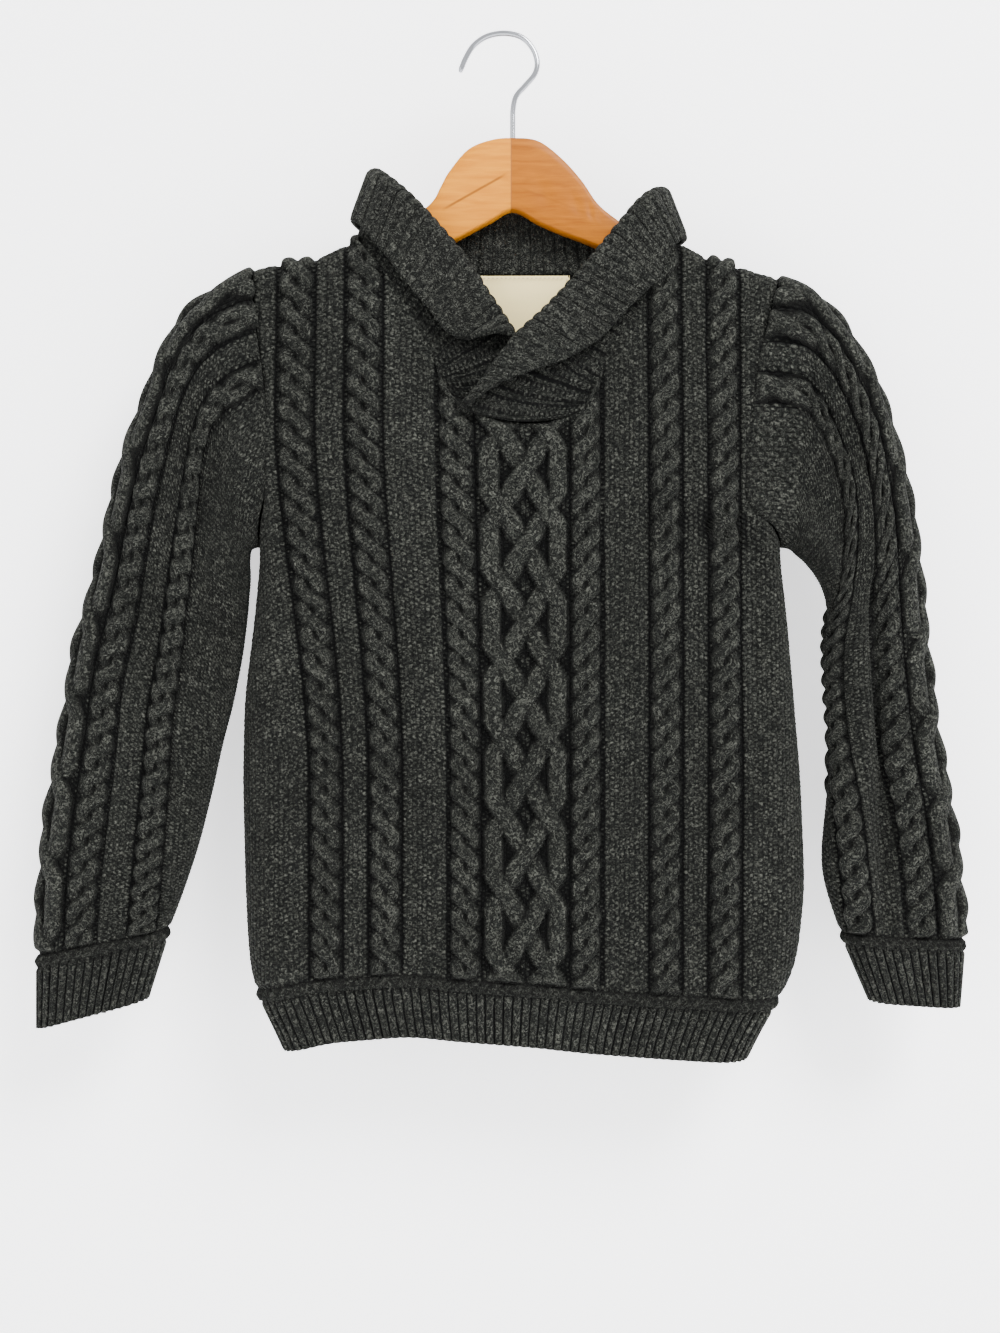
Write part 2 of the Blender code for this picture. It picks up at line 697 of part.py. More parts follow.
def ring_point(row, face, distance, folds):
    """Point of a sleeve ring at a cloth distance from its outer edge."""
    chord, rounding, quarter, flat = ring_lengths(row)
    depth = row[4]
    if distance < quarter:
        angle = distance / quarter * math.pi / 2.0
        along = rounding * (1.0 - math.cos(angle))
        out = depth * math.sin(angle)
    elif distance < quarter + flat:
        along = rounding + distance - quarter
        out = depth
    else:
        angle = (2.0 * quarter + flat - distance) / quarter * math.pi / 2.0
        along = chord - rounding * (1.0 - math.cos(angle))
        out = depth * math.sin(angle)
    share = along / chord
    x = row[0] + (row[2] - row[0]) * share
    z = row[1] + (row[3] - row[1]) * share
    if folds:
        out -= fold_depth(folds, x, z) * smooth(out / depth)
    return Vector((x, face * out, z))


class Sleeve:
    """Surface of a sleeve by ring place and cloth distance from its outer edge."""

    def __init__(self, rings, folds, left):
        self.rings = rings
        self.folds = folds
        self.left = left
        self.last = len(rings) - 1

    def half_round(self, place):
        chord, rounding, quarter, flat = ring_lengths(spline_row(self.rings, place))
        return 2.0 * quarter + flat

    def point(self, place, signed):
        """signed is the cloth distance: positive in front, negative behind."""
        face = -1 if signed >= 0.0 else 1
        row = spline_row(self.rings, place)
        half = self.half_round(place)
        distance = min(abs(signed), half)
        folds = self.folds if face < 0 else ()
        ring = ring_point(row, face, distance, folds)
        blend = smooth(place / ARMHOLE_BLEND)
        if blend >= 1.0:
            return ring
        arm = armhole_curve(self.left, face, distance / half)[0]
        return arm.lerp(ring, blend)

    def normal(self, place, signed):
        step = 0.02
        reach = 1.0
        half = self.half_round(place)
        here = min(half - reach, max(reach - half, signed))
        low = max(0.0, place - step)
        high = min(self.last, place + step)
        along = self.point(high, here) - self.point(low, here)
        if abs(here) < reach:
            around = self.point(place, reach) - self.point(place, -reach)
        else:
            around = self.point(place, here + reach) - self.point(place, here - reach)
        if abs(signed) >= half - 0.01:
            depth = self.point(place, reach - half).y - self.point(place, half - reach).y
            around = Vector((0.0, depth, 0.0))
        return along.cross(around).normalized()


def sleeve_columns():
    columns = [(0.0, BRAID_PERIOD / 4.0, "braid0")]
    for number, offset in enumerate(BRAID_COLUMNS[1:], start=1):
        columns.append((offset, BRAID_PERIOD / 4.0, "braid%d" % number))
    for first, last in SLEEVE_ROPES:
        columns.append((first, EDGE_SPACING, "edge"))
        columns.append(((first + last) / 2.0, ROPE_PITCH / 2.0, "rope"))
        columns.append((last, EDGE_SPACING, "edge"))
    return columns


def make_sleeve(name, rings, folds, left, material):
    surface = Sleeve(rings, folds, left)
    cloth = Cloth(name)
    narrowest = surface.half_round(surface.last) - 3.0

    def lines(inner):
        plain = [(place_on, SLEEVE_SPACING, "edge") for place_on in SLEEVE_INNER]
        columns = plain if inner else sleeve_columns()
        columns = [c for c in columns if c[0] < narrowest]
        columns += [(-share, SLEEVE_SPACING, "under") for share in UNDERARM_SHARES]
        columns.append((None, SLEEVE_SPACING, "edge"))
        samples = 60
        middle = [surface.point(surface.last * k / samples, SLEEVE_MIDDLE) for k in range(samples + 1)]
        lengths = by_length(middle)
        path_length = lengths[-1]
        result = []
        for face in (1, -1):
            group = []
            for offset, spacing, kind in columns:
                count = max(4, round(path_length / spacing))
                line = []
                for number in range(count + 1):
                    wanted_length = path_length * number / count
                    index = 0
                    while index < samples - 1 and lengths[index + 1] < wanted_length:
                        index += 1
                    span = lengths[index + 1] - lengths[index]
                    part = (wanted_length - lengths[index]) / span
                    place_on = surface.last * (index + part) / samples
                    half = surface.half_round(place_on)
                    if offset is None:
                        signed = half
                    elif kind == "under":
                        signed = UNDERARM_START - (half - UNDERARM_START) * offset
                    else:
                        signed = min(offset, half - 1.0)
                    height = 0.0
                    if 0 < number < count:
                        height = height_at(kind, number)
                    line.append([place_on, face * signed, wanted_length, height])
                group.append(line)
            result.append(group)
        return result

    def build(inner):
        front, back = lines(inner)
        loop = back[::-1] + front[1:-1]
        built = []
        for line in loop:
            row = []
            for place_on, signed, key, height in line:
                face = -1 if signed >= 0.0 else 1
                if place_on <= 1e-6:
                    half = surface.half_round(0.0)
                    base, normal, away = armhole_curve(left, face, abs(signed) / half)
                    share = abs(signed) / half
                    base = base + away * WELT_GAP * (1.0 + 0.8 * share ** 4)
                    if abs(signed) < 0.5:
                        normal = Vector((0.0, 0.0, 1.0))
                else:
                    base = surface.point(place_on, signed)
                    normal = surface.normal(place_on, signed)
                    if normal.dot(base - ring_middle(surface, place_on)) < 0.0:
                        normal = -normal
                point = base - normal * WALL if inner else base + normal * height
                row.append([cloth.vertex(point), key, height, base])
            built.append(row)
        for number, first in enumerate(built):
            second = built[(number + 1) % len(built)]
            if inner:
                first, second = second, first
            cloth.zip_up([e[:3] for e in first], [e[:3] for e in second])
        top = [(line[0][0], line[0][3]) for line in built]
        bottom = [(line[-1][0], line[-1][3]) for line in built]
        return top + top[:1], bottom + bottom[:1]

    outer_top, outer_bottom = build(False)
    inner_top, inner_bottom = build(True)
    rim(cloth, outer_top, inner_top)
    rim(cloth, outer_bottom, inner_bottom)
    return cloth.finish(material)


def ring_middle(surface, place_on):
    row = spline_row(surface.rings, place_on)
    return Vector(((row[0] + row[2]) / 2.0, 0.0, (row[1] + row[3]) / 2.0))


# Ribbed pieces

def rib_band(cloth, outer_at, count, levels, closed):
    """A ribbed band: outer_at(number, level, rise) gives a point on rib line number.

    levels rows are (share down the band, rise of ridges, rise of grooves).
    """
    outer = []
    total = 2 * count
    for number in range(total if closed else total + 1):
        line = []
        for share, ridge, groove in levels:
            rise = ridge if number % 2 == 0 else groove
            line.append(cloth.vertex(outer_at(number / total, share, rise)))
        outer.append(line)
    inner_total = max(16, total // 4)
    inner = []
    for number in range(inner_total if closed else inner_total + 1):
        line = [cloth.vertex(outer_at(number / inner_total, share, -WALL)) for share in (0.0, 1.0)]
        inner.append(line)
    pairs = len(outer) if closed else len(outer) - 1
    for number in range(pairs):
        first = outer[number]
        second = outer[(number + 1) % len(outer)]
        for k in range(len(levels) - 1):
            cloth.face(first[k], second[k], second[k + 1], first[k + 1])
    pairs = len(inner) if closed else len(inner) - 1
    for number in range(pairs):
        first = inner[number]
        second = inner[(number + 1) % len(inner)]
        cloth.face(first[0], first[1], second[1], second[0])
    for level, inner_level in ((0, 0), (-1, 1)):
        first = [(line[level], number / total, 0.0) for number, line in enumerate(outer)]
        second = [(line[inner_level], number / inner_total, 0.0)
                  for number, line in enumerate(inner)]
        if closed:
            first.append((outer[0][level], 1.0, 0.0))
            second.append((inner[0][inner_level], 1.0, 0.0))
        scaled_first = [(v, key * 1000.0, h) for v, key, h in first]
        scaled_second = [(v, key * 1000.0, h) for v, key, h in second]
        cloth.zip_up(scaled_first, scaled_second)
    if not closed:
        for line, inner_line in ((outer[0], inner[0]), (outer[-1], inner[-1])):
            cloth.face(*(line + inner_line[::-1]))


BAND_LEVELS = (
    (0.0, 0.4, 0.4),
    (0.09, PLAIT_RISE, PLAIT_RISE * 0.7),
    (0.18, RIB_RISE * 0.6, -0.2),
    (1.0, RIB_RISE, 0.0),
)


def make_hem(name, face, material):
    cloth = Cloth(name)
    span = side_seam(SIDE_SEAM_FOOT, False) - side_seam(SIDE_SEAM_FOOT, True)
    count = round(span / HEM_RIB)

    def outer_at(along, share, rise):
        top = SIDE_SEAM_FOOT
        for attempt in range(3):
            left = side_seam(top, True)
            across = left + along * (side_seam(top, False) - left)
            top = look_up(HEM_SEAM, across, 1) - WELT_GAP
        z = top - HEM_HEIGHT * share
        left = side_seam(z, True)
        across = left + along * (side_seam(z, False) - left)
        v = cloth_distance(across, z)
        base = body_point(face, across, v)
        point = base + body_normal(face, across, v) * rise
        if along < 1e-6 or along > 1.0 - 1e-6:
            point.y = face * SEAM_GAP / 2.0
        return point

    rib_band(cloth, outer_at, count, BAND_LEVELS, False)
    return cloth.finish(material)


def make_cuff(name, rings, material):
    cloth = Cloth(name)
    top_half = 2.0 * ring_lengths(rings[0])[2] + ring_lengths(rings[0])[3]
    count = round(2.0 * top_half / CUFF_RIB)

    def outer_at(along, share, rise):
        row = [a + (b - a) * share for a, b in zip(rings[0], rings[1])]
        half = 2.0 * ring_lengths(row)[2] + ring_lengths(row)[3]
        signed = (along * 2.0 - 1.0) * half

        def at(distance):
            distance = (distance + half) % (2.0 * half) - half
            return ring_point(row, -1 if distance >= 0.0 else 1, abs(distance), ())

        along_ring = at(signed + 0.5) - at(signed - 0.5)
        down = Vector((rings[1][0] - rings[0][0], 0.0, rings[1][1] - rings[0][1]))
        normal = along_ring.cross(down).normalized()
        middle = Vector(((row[0] + row[2]) / 2.0, 0.0, (row[1] + row[3]) / 2.0))
        point = at(signed)
        if normal.dot(point - middle) < 0.0:
            normal = -normal
        return point + normal * rise

    rib_band(cloth, outer_at, count, BAND_LEVELS, True)
    return cloth.finish(material)


# Collar

def neckline_path():
    """Middle of the panels' neck edges: right side going up, back, left side going down."""
    ends = {}
    for face in (-1, 1):
        tops = []
        for offset, step, shift, kind in panel_columns(face < 0):
            across, v, height = column_rows(face, offset, step, shift, kind)[-1]
            if v > 0.0:
                point = body_point(face, across, v)
                tops.append(point - body_normal(face, across, v) * WALL / 2.0)
        ends[face] = tops
    right = [p for p in ends[-1] if p.x > COLLAR_CORNERS[1] - 1.0]
    left = [p for p in ends[-1] if p.x < COLLAR_CORNERS[0] + 1.0]
    right_top = Vector((NECKLINE[-1][0] - 1.0, 0.0, NECKLINE[-1][1] - WALL / 2.0))
    left_top = Vector((NECKLINE[0][0] + 1.0, 0.0, NECKLINE[0][1] - WALL / 2.0))
    return {"right": right + [right_top], "back": [right_top] + ends[1][::-1] + [left_top],
            "left": [left_top] + left}


def seam_at(paths, part, place_on):
    """Length along the whole neckline of a place on one of its parts."""
    before = 0.0
    for name in ("right", "back", "left"):
        points = paths[name]
        lengths = by_length(points)
        if name == part:
            axis = 0 if part == "back" else 2
            for index in range(len(points) - 1):
                low, high = sorted((points[index][axis], points[index + 1][axis]))
                if low <= place_on <= high:
                    share = (place_on - points[index][axis])
                    share /= points[index + 1][axis] - points[index][axis]
                    step = lengths[index + 1] - lengths[index]
                    return before + lengths[index] + share * step
            start_gap = abs(points[0][axis] - place_on)
            end_gap = abs(points[-1][axis] - place_on)
            return before + (0.0 if start_gap < end_gap else lengths[-1])
        before += lengths[-1]
    return before


def along_path(points, wanted):
    lengths = by_length(points)
    for index in range(len(points) - 1):
        if wanted <= lengths[index + 1] + 1e-9:
            part = (wanted - lengths[index]) / (lengths[index + 1] - lengths[index])
            return points[index].lerp(points[index + 1], part)
    return points[-1].copy()


def collar_section(seam, row, wave):
    """Twelve corners of a collar section: six on the face seen on the fall, six behind."""
    fold = Vector(row[0:3])
    out = Vector(row[3:6])
    turn = math.radians(max(1.0, row[6]))
    fall = row[7]
    sag = row[8]
    rise = fold - seam
    along = rise.normalized()
    out = (out - along * out.dot(along)).normalized()
    arc = FOLD_ARC + (FLAT_ARC - FOLD_ARC) * (1.0 - smooth(row[6] / FLAT_TURN))
    radius = arc / turn
    reach = radius * math.sin(min(turn, math.pi / 2.0)) + (fall if turn < 0.5 else 0.0)
    stand = rise.length - reach - COLLAR_WALL / 2.0
    corners = []
    places = (0.0, stand / 2.0, stand, (0.5,), (1.0,), (1.0, fall))
    for place_on in places:
        if isinstance(place_on, float):
            centre = (place_on, 0.0)
            angle = 0.0
        else:
            angle = turn * place_on[0]
            centre = (stand + radius * math.sin(angle), radius * (1.0 - math.cos(angle)))
            if len(place_on) > 1:
                centre = (centre[0] + place_on[1] * math.cos(angle),
                          centre[1] + place_on[1] * math.sin(angle))
        corners.append((centre, (math.sin(angle), -math.cos(angle))))
    front = []
    behind = []
    width = stand + arc + fall
    runs = (0.0, stand / 2.0, stand, stand + arc / 2.0, stand + arc, width)
    for (centre, normal), run in zip(corners, runs):
        dip = Vector((0.0, 0.0, -sag * 4.0 * (run / width) * (1.0 - run / width)))
        middle = seam + along * centre[0] + out * centre[1] + dip
        direction = along * normal[0] + out * normal[1]
        front.append(middle + direction * (COLLAR_WALL / 2.0 + wave))
        behind.append(middle - direction * (COLLAR_WALL / 2.0 - wave))
    return front + behind[::-1]


def make_collar(material):
    cloth = Cloth("collar")
    paths = neckline_path()
    path = paths["right"] + paths["back"][1:] + paths["left"][1:]
    places = [seam_at(paths, row[0], row[1]) for row in COLLAR]
    table = [row[2:] for row in COLLAR]
    folds = [Vector(row[0:3]) for row in table]
    lengths = by_length(folds)
    count = 2 * round(lengths[-1] / COLLAR_RIB)
    loops = []
    for number in range(count + 1):
        wanted = lengths[-1] * number / count
        index = 0
        while index < len(folds) - 2 and lengths[index + 1] < wanted:
            index += 1
        part = (wanted - lengths[index]) / (lengths[index + 1] - lengths[index])
        row = spline_row(table, index + part)
        seam = along_path(path, places[index] + part * (places[index + 1] - places[index]))
        lift = (Vector(row[0:3]) - seam).normalized()
        seam = seam + lift * COLLAR_LIFT
        wave = COLLAR_WAVE if number % 2 == 0 else -COLLAR_WAVE
        loops.append([cloth.vertex(p) for p in collar_section(seam, row, wave)])
    for first, second in zip(loops, loops[1:]):
        for k in range(len(first)):
            after = (k + 1) % len(first)
            cloth.face(first[k], first[after], second[after], second[k])
    for loop in (loops[0], loops[-1]):
        half = len(loop) // 2
        for k in range(half - 1):
            cloth.face(loop[k], loop[k + 1], loop[-2 - k], loop[-1 - k])
    return cloth.finish(material)


# Label, hanger and hook

def make_label(material):
    cloth = Cloth("label")
    columns = 6
    rows = 4
    back_gap = WALL + LABEL_GAP
    sheets = []
    for depth in (back_gap, back_gap + LABEL_THICK):
        sheet = []
        for i in range(columns + 1):
            x = LABEL_CENTRE + LABEL_WIDTH * (i / columns - 0.5)
            line = []
            for j in range(rows + 1):
                z = LABEL_TOP - LABEL_HEIGHT * j / rows
                v = cloth_distance(x, z)
                base = body_point(1, x, v)
                line.append(cloth.vertex(base - body_normal(1, x, v) * depth))
            sheet.append(line)
        sheets.append(sheet)
    for sheet in sheets:
        for i in range(columns):
            for j in range(rows):
                cloth.face(sheet[i][j], sheet[i + 1][j], sheet[i + 1][j + 1], sheet[i][j + 1])
    back, front = sheets
    edge = [(i, 0) for i in range(columns)] + [(columns, j) for j in range(rows)]
    edge += [(i, rows) for i in range(columns, 0, -1)] + [(0, j) for j in range(rows, 0, -1)]
    for (i, j), (k, m) in zip(edge, edge[1:] + edge[:1]):
        cloth.face(back[i][j], back[k][m], front[k][m], front[i][j])
    return cloth.finish(material)


def make_hanger(material):
    bm = bmesh.new()
    half = HANGER_THICK / 2.0
    front = []
    for x, top, bottom in HANGER_STATIONS:
        pair = [bm.verts.new(Vector((x, -half, z)) * MM) for z in (top, bottom)]
        front.append(pair)
    for (top0, low0), (top1, low1) in zip(front, front[1:]):
        bm.faces.new((top0, low0, low1, top1))
    grown = bmesh.ops.extrude_face_region(bm, geom=bm.faces[:])
    moved = [item for item in grown["geom"] if isinstance(item, bmesh.types.BMVert)]
    bmesh.ops.translate(bm, verts=moved, vec=Vector((0.0, HANGER_THICK * MM, 0.0)))
    bmesh.ops.recalc_face_normals(bm, faces=bm.faces)
    outline = []
    for edge in bm.edges:
        if len(edge.link_faces) == 2:
            ys = [vertex.co.y for vertex in edge.verts]
            flat = abs(ys[0] - ys[1]) < 1e-6
            if flat and edge.calc_face_angle(0.0) > math.radians(60.0):
                outline.append(edge)
    bmesh.ops.bevel(bm, geom=outline, offset=HANGER_EDGE * MM, offset_type="OFFSET", segments=2,
                    profile=0.5, affect="EDGES", material=-1, clamp_overlap=True)
    bmesh.ops.triangulate(bm, faces=bm.faces)
    mesh = bpy.data.meshes.new("hanger")
    bm.to_mesh(mesh)
    bm.free()
    return place("hanger", mesh, material)


def make_hook(material):
    curve = bpy.data.curves.new("hook", "CURVE")
    curve.dimensions = "3D"
    curve.bevel_depth = HOOK_WIRE * MM
    curve.bevel_resolution = 2
    curve.use_fill_caps = True
    samples = 2 * (len(HOOK_LINE) - 1)
    spline = curve.splines.new("POLY")
    spline.points.add(samples)
    for number in range(samples + 1):
        x, z = spline_row(HOOK_LINE, number * (len(HOOK_LINE) - 1) / samples)
        spline.points[number].co = (x * MM, 0.0, z * MM, 1.0)
    hook = bpy.data.objects.new("hook", curve)
    curve.materials.append(material)
    garment.objects.link(hook)
    return hook


def material_of(name, colour, roughness, metallic):
    made = bpy.data.materials.new(name)
    made.use_nodes = True
    shader = made.node_tree.nodes["Principled BSDF"]
    shader.inputs["Base Color"].default_value = (*colour, 1.0)
    shader.inputs["Roughness"].default_value = roughness
    shader.inputs["Metallic"].default_value = metallic
    return made


for leftover in list(bpy.data.objects):
    bpy.data.objects.remove(leftover, do_unlink=True)
garment = bpy.data.collections.new("cable_knit_sweater")
bpy.context.scene.collection.children.link(garment)

wool = material_of("charcoal_wool", (0.055, 0.06, 0.055), 0.95, 0.0)
woven = material_of("cream_label", (0.72, 0.66, 0.52), 0.85, 0.0)
wood = material_of("lacquered_wood", (0.72, 0.42, 0.18), 0.4, 0.0)
chrome = material_of("chrome_wire", (0.75, 0.76, 0.78), 0.15, 1.0)

make_panel("front", -1, True, wool)
make_panel("back", 1, False, wool)
make_hem("hem_front", -1, wool)
make_hem("hem_back", 1, wool)
make_sleeve("sleeve_left", SLEEVE_LEFT, SLEEVE_FOLDS_LEFT, True, wool)
make_sleeve("sleeve_right", SLEEVE_RIGHT, SLEEVE_FOLDS_RIGHT, False, wool)
make_cuff("cuff_left", CUFF_LEFT, wool)
make_cuff("cuff_right", CUFF_RIGHT, wool)
make_collar(wool)
make_label(woven)
make_hanger(wood)
make_hook(chrome)
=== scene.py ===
import math

import bmesh
import bpy
import numpy as np
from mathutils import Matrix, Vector


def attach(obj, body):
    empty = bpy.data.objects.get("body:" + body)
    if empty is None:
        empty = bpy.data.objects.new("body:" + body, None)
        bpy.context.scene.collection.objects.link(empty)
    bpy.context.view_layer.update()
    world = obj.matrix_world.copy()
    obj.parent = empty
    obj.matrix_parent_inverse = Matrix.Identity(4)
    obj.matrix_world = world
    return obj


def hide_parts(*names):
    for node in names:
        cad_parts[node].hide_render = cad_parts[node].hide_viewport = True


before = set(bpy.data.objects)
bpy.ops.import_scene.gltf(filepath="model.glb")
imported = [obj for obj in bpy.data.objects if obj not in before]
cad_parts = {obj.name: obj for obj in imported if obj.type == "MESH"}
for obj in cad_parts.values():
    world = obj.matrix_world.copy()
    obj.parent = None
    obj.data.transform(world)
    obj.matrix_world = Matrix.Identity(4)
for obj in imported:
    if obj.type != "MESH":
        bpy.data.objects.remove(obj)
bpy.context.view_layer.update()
mm = 0.001  # the tables below are in millimetres

# What the whole garment shares: the wall, its stitches and the cables' places
sweater = {
    "wall": 3.0,
    "shoulderRound": 10.0,   # radius of the cloth over the hanger's arms
    "deepening": 110.0,      # distance below the shoulder where the body is at full depth
    "stitchWide": 2.9,
    "stitchTall": 1.5,
    "strandStitch": 3.1,
    "cableCentre": 12.0,
    "fanLeft": 0.16,         # the left ropes spread towards the shoulder
    "armpit": -307.0,
    "hemLine": -571.0,
    "seamDip": 0.9,          # how far a seam sinks in
    "seamReach": 2.2,
    "backNeckDip": 17.5,
    "waver": 0.6,            # the body is never quite flat
}

# Body sections: height, left side, right side, half depth
bodySections = (
    (-616, -128, 142.5, 19),
    (-598, -136, 151, 19),
    (-582, -144, 160, 19.5),
    (-568, -151, 170, 20),
    (-550, -153.5, 175.5, 21),
    (-510, -155.5, 179.5, 22),
    (-446, -157, 177, 22),
    (-398, -156, 173, 22),
    (-350, -150, 169, 21),
    (-307, -146, 164, 20),
    (-283, -151, 167, 20),
    (-250, -162, 173, 20),
    (-224, -170, 181, 19),
    (-110, -178, 192, 18),
)

# Shoulder line, neckline and hem seam: across, height
shoulderTable = (
    (-180, -146), (-150.5, -140.5), (-135.3, -137.3), (-113.3, -134.5), (-89, -122.4),
    (102, -123), (120, -133.3), (139, -138.6), (163, -146), (190, -150),
)
neckTable = (
    (-88.8, -122.4), (-65.7, -148.4), (-54.5, -168.4), (-41.1, -194.1), (-36, -211.1),
    (-28, -221), (-5.3, -231.8), (10, -235.2), (24.5, -234.6), (43, -229),
    (52, -214), (60.8, -191.2), (77.2, -165.4), (101.5, -123),
)
hemTable = (
    (-161, -571), (-147, -570), (-115, -563.5), (-61, -559.5), (-33, -562.5),
    (12, -565.5), (57, -569.5), (139, -575), (166, -575.5), (181, -575.5),
)

# Armholes from the shoulder to the corner above the armpit: height, place across
armholeLeft = (
    (-141, -150.5), (-175, -148), (-194, -145), (-224, -141), (-255, -141.5),
    (-283, -142.7),
)
armholeRight = (
    (-147.5, 163), (-175, 155.5), (-201, 149), (-238, 144.5), (-262, 142.5),
    (-283, 142),
)

# Soft troughs of the body: first point, last point, half width, depth
bodyFolds = (
    ((136, -200), (150, -395), 12, 6),
    ((118, -250), (130, -330), 16, -2),
    ((-66, -330), (-50, -560), 12, 3.2),
    ((108, -470), (118, -575), 16, 3),
    ((-132, -300), (-108, -362), 10, 3),
    ((30, -500), (22, -590), 14, 1.8),
    ((-112, -520), (-104, -600), 13, 2.4),
)


def ease(t):
    t = np.clip(t, 0.0, 1.0)
    return t * t * (3.0 - 2.0 * t)


def softLine(rows, blur, column=1):
    # a table's straight pieces, rounded over about "blur" millimetres
    ordered = sorted((row[0], row[column]) for row in rows)
    keys = np.array([pair[0] for pair in ordered])
    values = np.array([pair[1] for pair in ordered])
    fine = np.arange(keys[0], keys[-1] + 1.0, 1.0)
    reach = int(3 * blur)
    weights = np.exp(-0.5 * (np.arange(-reach, reach + 1) / blur) ** 2)
    rough = np.pad(np.interp(fine, keys, values), reach, mode="reflect", reflect_type="odd")
    soft = np.convolve(rough, weights / weights.sum(), mode="valid")
    return lambda key: np.interp(key, fine, soft)


leftSide, rightSide, halfDepth = (softLine(bodySections, 9.0, column) for column in (1, 2, 3))
shoulderLine = softLine(shoulderTable, 4.0)
hemLine = softLine(hemTable, 9.0)
neckLineTable = softLine(neckTable, 1.6)


def unitGrid(columns, rows):
    # shares from 0 to 1 across and along, for every point of a grid
    return np.meshgrid(np.linspace(0.0, 1.0, columns + 1), np.linspace(0.0, 1.0, rows + 1),
                       indexing="ij")


def runLengths(points):
    return np.append(0.0, np.cumsum(np.linalg.norm(np.diff(points, axis=0), axis=1)))


def seamDip(toSeam):
    return sweater["seamDip"] * np.exp(-((toSeam / sweater["seamReach"]) ** 2))


def foldDepth(folds, x, z):
    depth = np.zeros_like(x)
    for (x0, z0), (x1, z1), half, deep in folds:
        runX, runZ = x1 - x0, z1 - z0
        length = math.hypot(runX, runZ)
        along = ((x - x0) * runX + (z - z0) * runZ) / length
        aside = ((x - x0) * runZ - (z - z0) * runX) / length
        beyond = np.maximum(0.0, np.maximum(-along, along - length))
        ends = 0.6 + 0.4 * ease(np.minimum(along, length - along) / 30.0)
        depth += deep * ends * np.exp(-((beyond / (2.0 * half)) ** 2) - (aside / half) ** 2)
    return depth


def sideSeam(z, left):
    depth = halfDepth(z)
    if left:
        return leftSide(z) + depth - depth * math.pi / 2.0
    return rightSide(z) - depth + depth * math.pi / 2.0


armpitRow = {left: ((sweater["armpit"], float(sideSeam(sweater["armpit"], left))),)
             for left in (True, False)}
armholeLines = {True: softLine(armholeLeft + armpitRow[True], 5.0),
                False: softLine(armholeRight + armpitRow[False], 5.0)}


def panelEdge(z, left):
    # side seam below the armpit, armhole above it
    return np.where(z < sweater["armpit"], sideSeam(z, left), armholeLines[left](z))


def acrossAt(edge, side, z):
    # place across, at a share of the way from the left edge to the right one
    left = edge(z, True)
    return left + side * (edge(z, False) - left)


def clothDistance(across, z):
    # cloth length from the shoulder line down to a height
    radius = sweater["shoulderRound"]
    drop = shoulderLine(across) - z
    rolled = radius * np.arccos(np.clip(1.0 - np.maximum(drop, 0.0) / radius, -1.0, 1.0))
    return np.where(drop < radius, rolled, drop - radius + radius * math.pi / 2.0)


def clothDrop(v):
    radius = sweater["shoulderRound"]
    roll = radius * math.pi / 2.0
    rolled = radius * (1.0 - np.cos(np.minimum(v, roll) / radius))
    return np.where(v < roll, rolled, radius + v - roll)


def bodyPoint(face, across, v):
    # point of the body's plain surface; face is -1 in front and 1 behind
    radius = sweater["shoulderRound"]
    roll = radius * math.pi / 2.0
    drop = clothDrop(v)
    z = shoulderLine(across) - drop
    full = halfDepth(z)
    share = ease((drop - radius) / sweater["deepening"])
    depth = np.where(v < roll, radius * np.sin(np.minimum(v, roll) / radius),
                     radius + (full - radius) * share)
    startLeft = leftSide(z) + full
    startRight = rightSide(z) - full
    turnLeft = np.maximum(0.0, (startLeft - across) / full)
    turnRight = np.maximum(0.0, (across - startRight) / full)
    x = np.where(turnLeft > 0.0, startLeft - full * np.sin(turnLeft),
                 np.where(turnRight > 0.0, startRight + full * np.sin(turnRight), across))
    depth = depth * np.cos(turnLeft) * np.cos(turnRight)
    if face < 0:
        depth = depth - foldDepth(bodyFolds, x, z) * ease(depth / full)
    depth = depth + sweater["waver"] * np.sin(x / 31.0 + z / 47.0) * ease(depth / full)
    return np.stack([x, face * depth, z], axis=-1)


def neckHeight(face, across):
    if face < 0:
        return neckLineTable(across)
    left, right = neckTable[0][0], neckTable[-1][0]
    middle = (left + right) / 2.0
    reach = np.abs(across - middle) / (right - middle)
    return neckTable[0][1] - sweater["backNeckDip"] * (1.0 - np.clip(reach, 0.0, 1.0) ** 3)


def gridNormals(points, outward):
    # unit normals of a grid, turned towards "outward"
    one = np.gradient(points, axis=0)
    other = np.gradient(points, axis=1)
    normals = np.cross(one, other)
    normals /= np.maximum(np.linalg.norm(normals, axis=-1, keepdims=True), 1e-9)
    if np.sum(normals * outward) < 0.0:
        normals = -normals
    return normals


def layStrand(knit, aside, lift, slope, run, half, crown):
    # one knitted strand over whatever lies below it
    share = aside / (half * np.sqrt(1.0 + slope ** 2))
    rise = lift + crown * np.sqrt(np.clip(1.0 - share ** 2, 0.0, 1.0))
    over = (np.abs(share) < 1.0) & (rise > knit["height"])
    knit["height"] = np.where(over, rise, knit["height"])
    knit["column"] = np.where(over, share + 1.0, knit["column"])
    knit["row"] = np.where(over, run / sweater["strandStitch"], knit["row"])
    knit["purl"] = np.where(over, 0.0, knit["purl"])


# Cables: the ropes' edges out from the braid's middle, and how the strands run
cables = {
    "ropes": ((26.0, 45.0), (73.0, 92.0), (108.0, 127.0)),
    "rope": {"pitch": 15.0, "swing": 4.6, "lift": 1.5, "half": 3.9, "crown": 3.1,
             "stretch": 1.2},
    "grooveDepth": 1.6,
    "grooveHalf": 1.5,
    "braidStep": 22.5,       # half of the braid's period
    "braidStart": -398.0,
    "braidSlots": (-19.0, -6.4, 6.4, 19.0),
    "braidOrder": (1, 2, 3, 3, 2, 1, 0, 0, 1),
    "braidStretch": 1.12,
    "braidHalf": 5.4,
    "braidCrown": 3.4,
    "braidLift": 1.3,
    "braidGround": -0.9,
    "groundPurl": 0.7,
    "mossRise": 0.4,
}


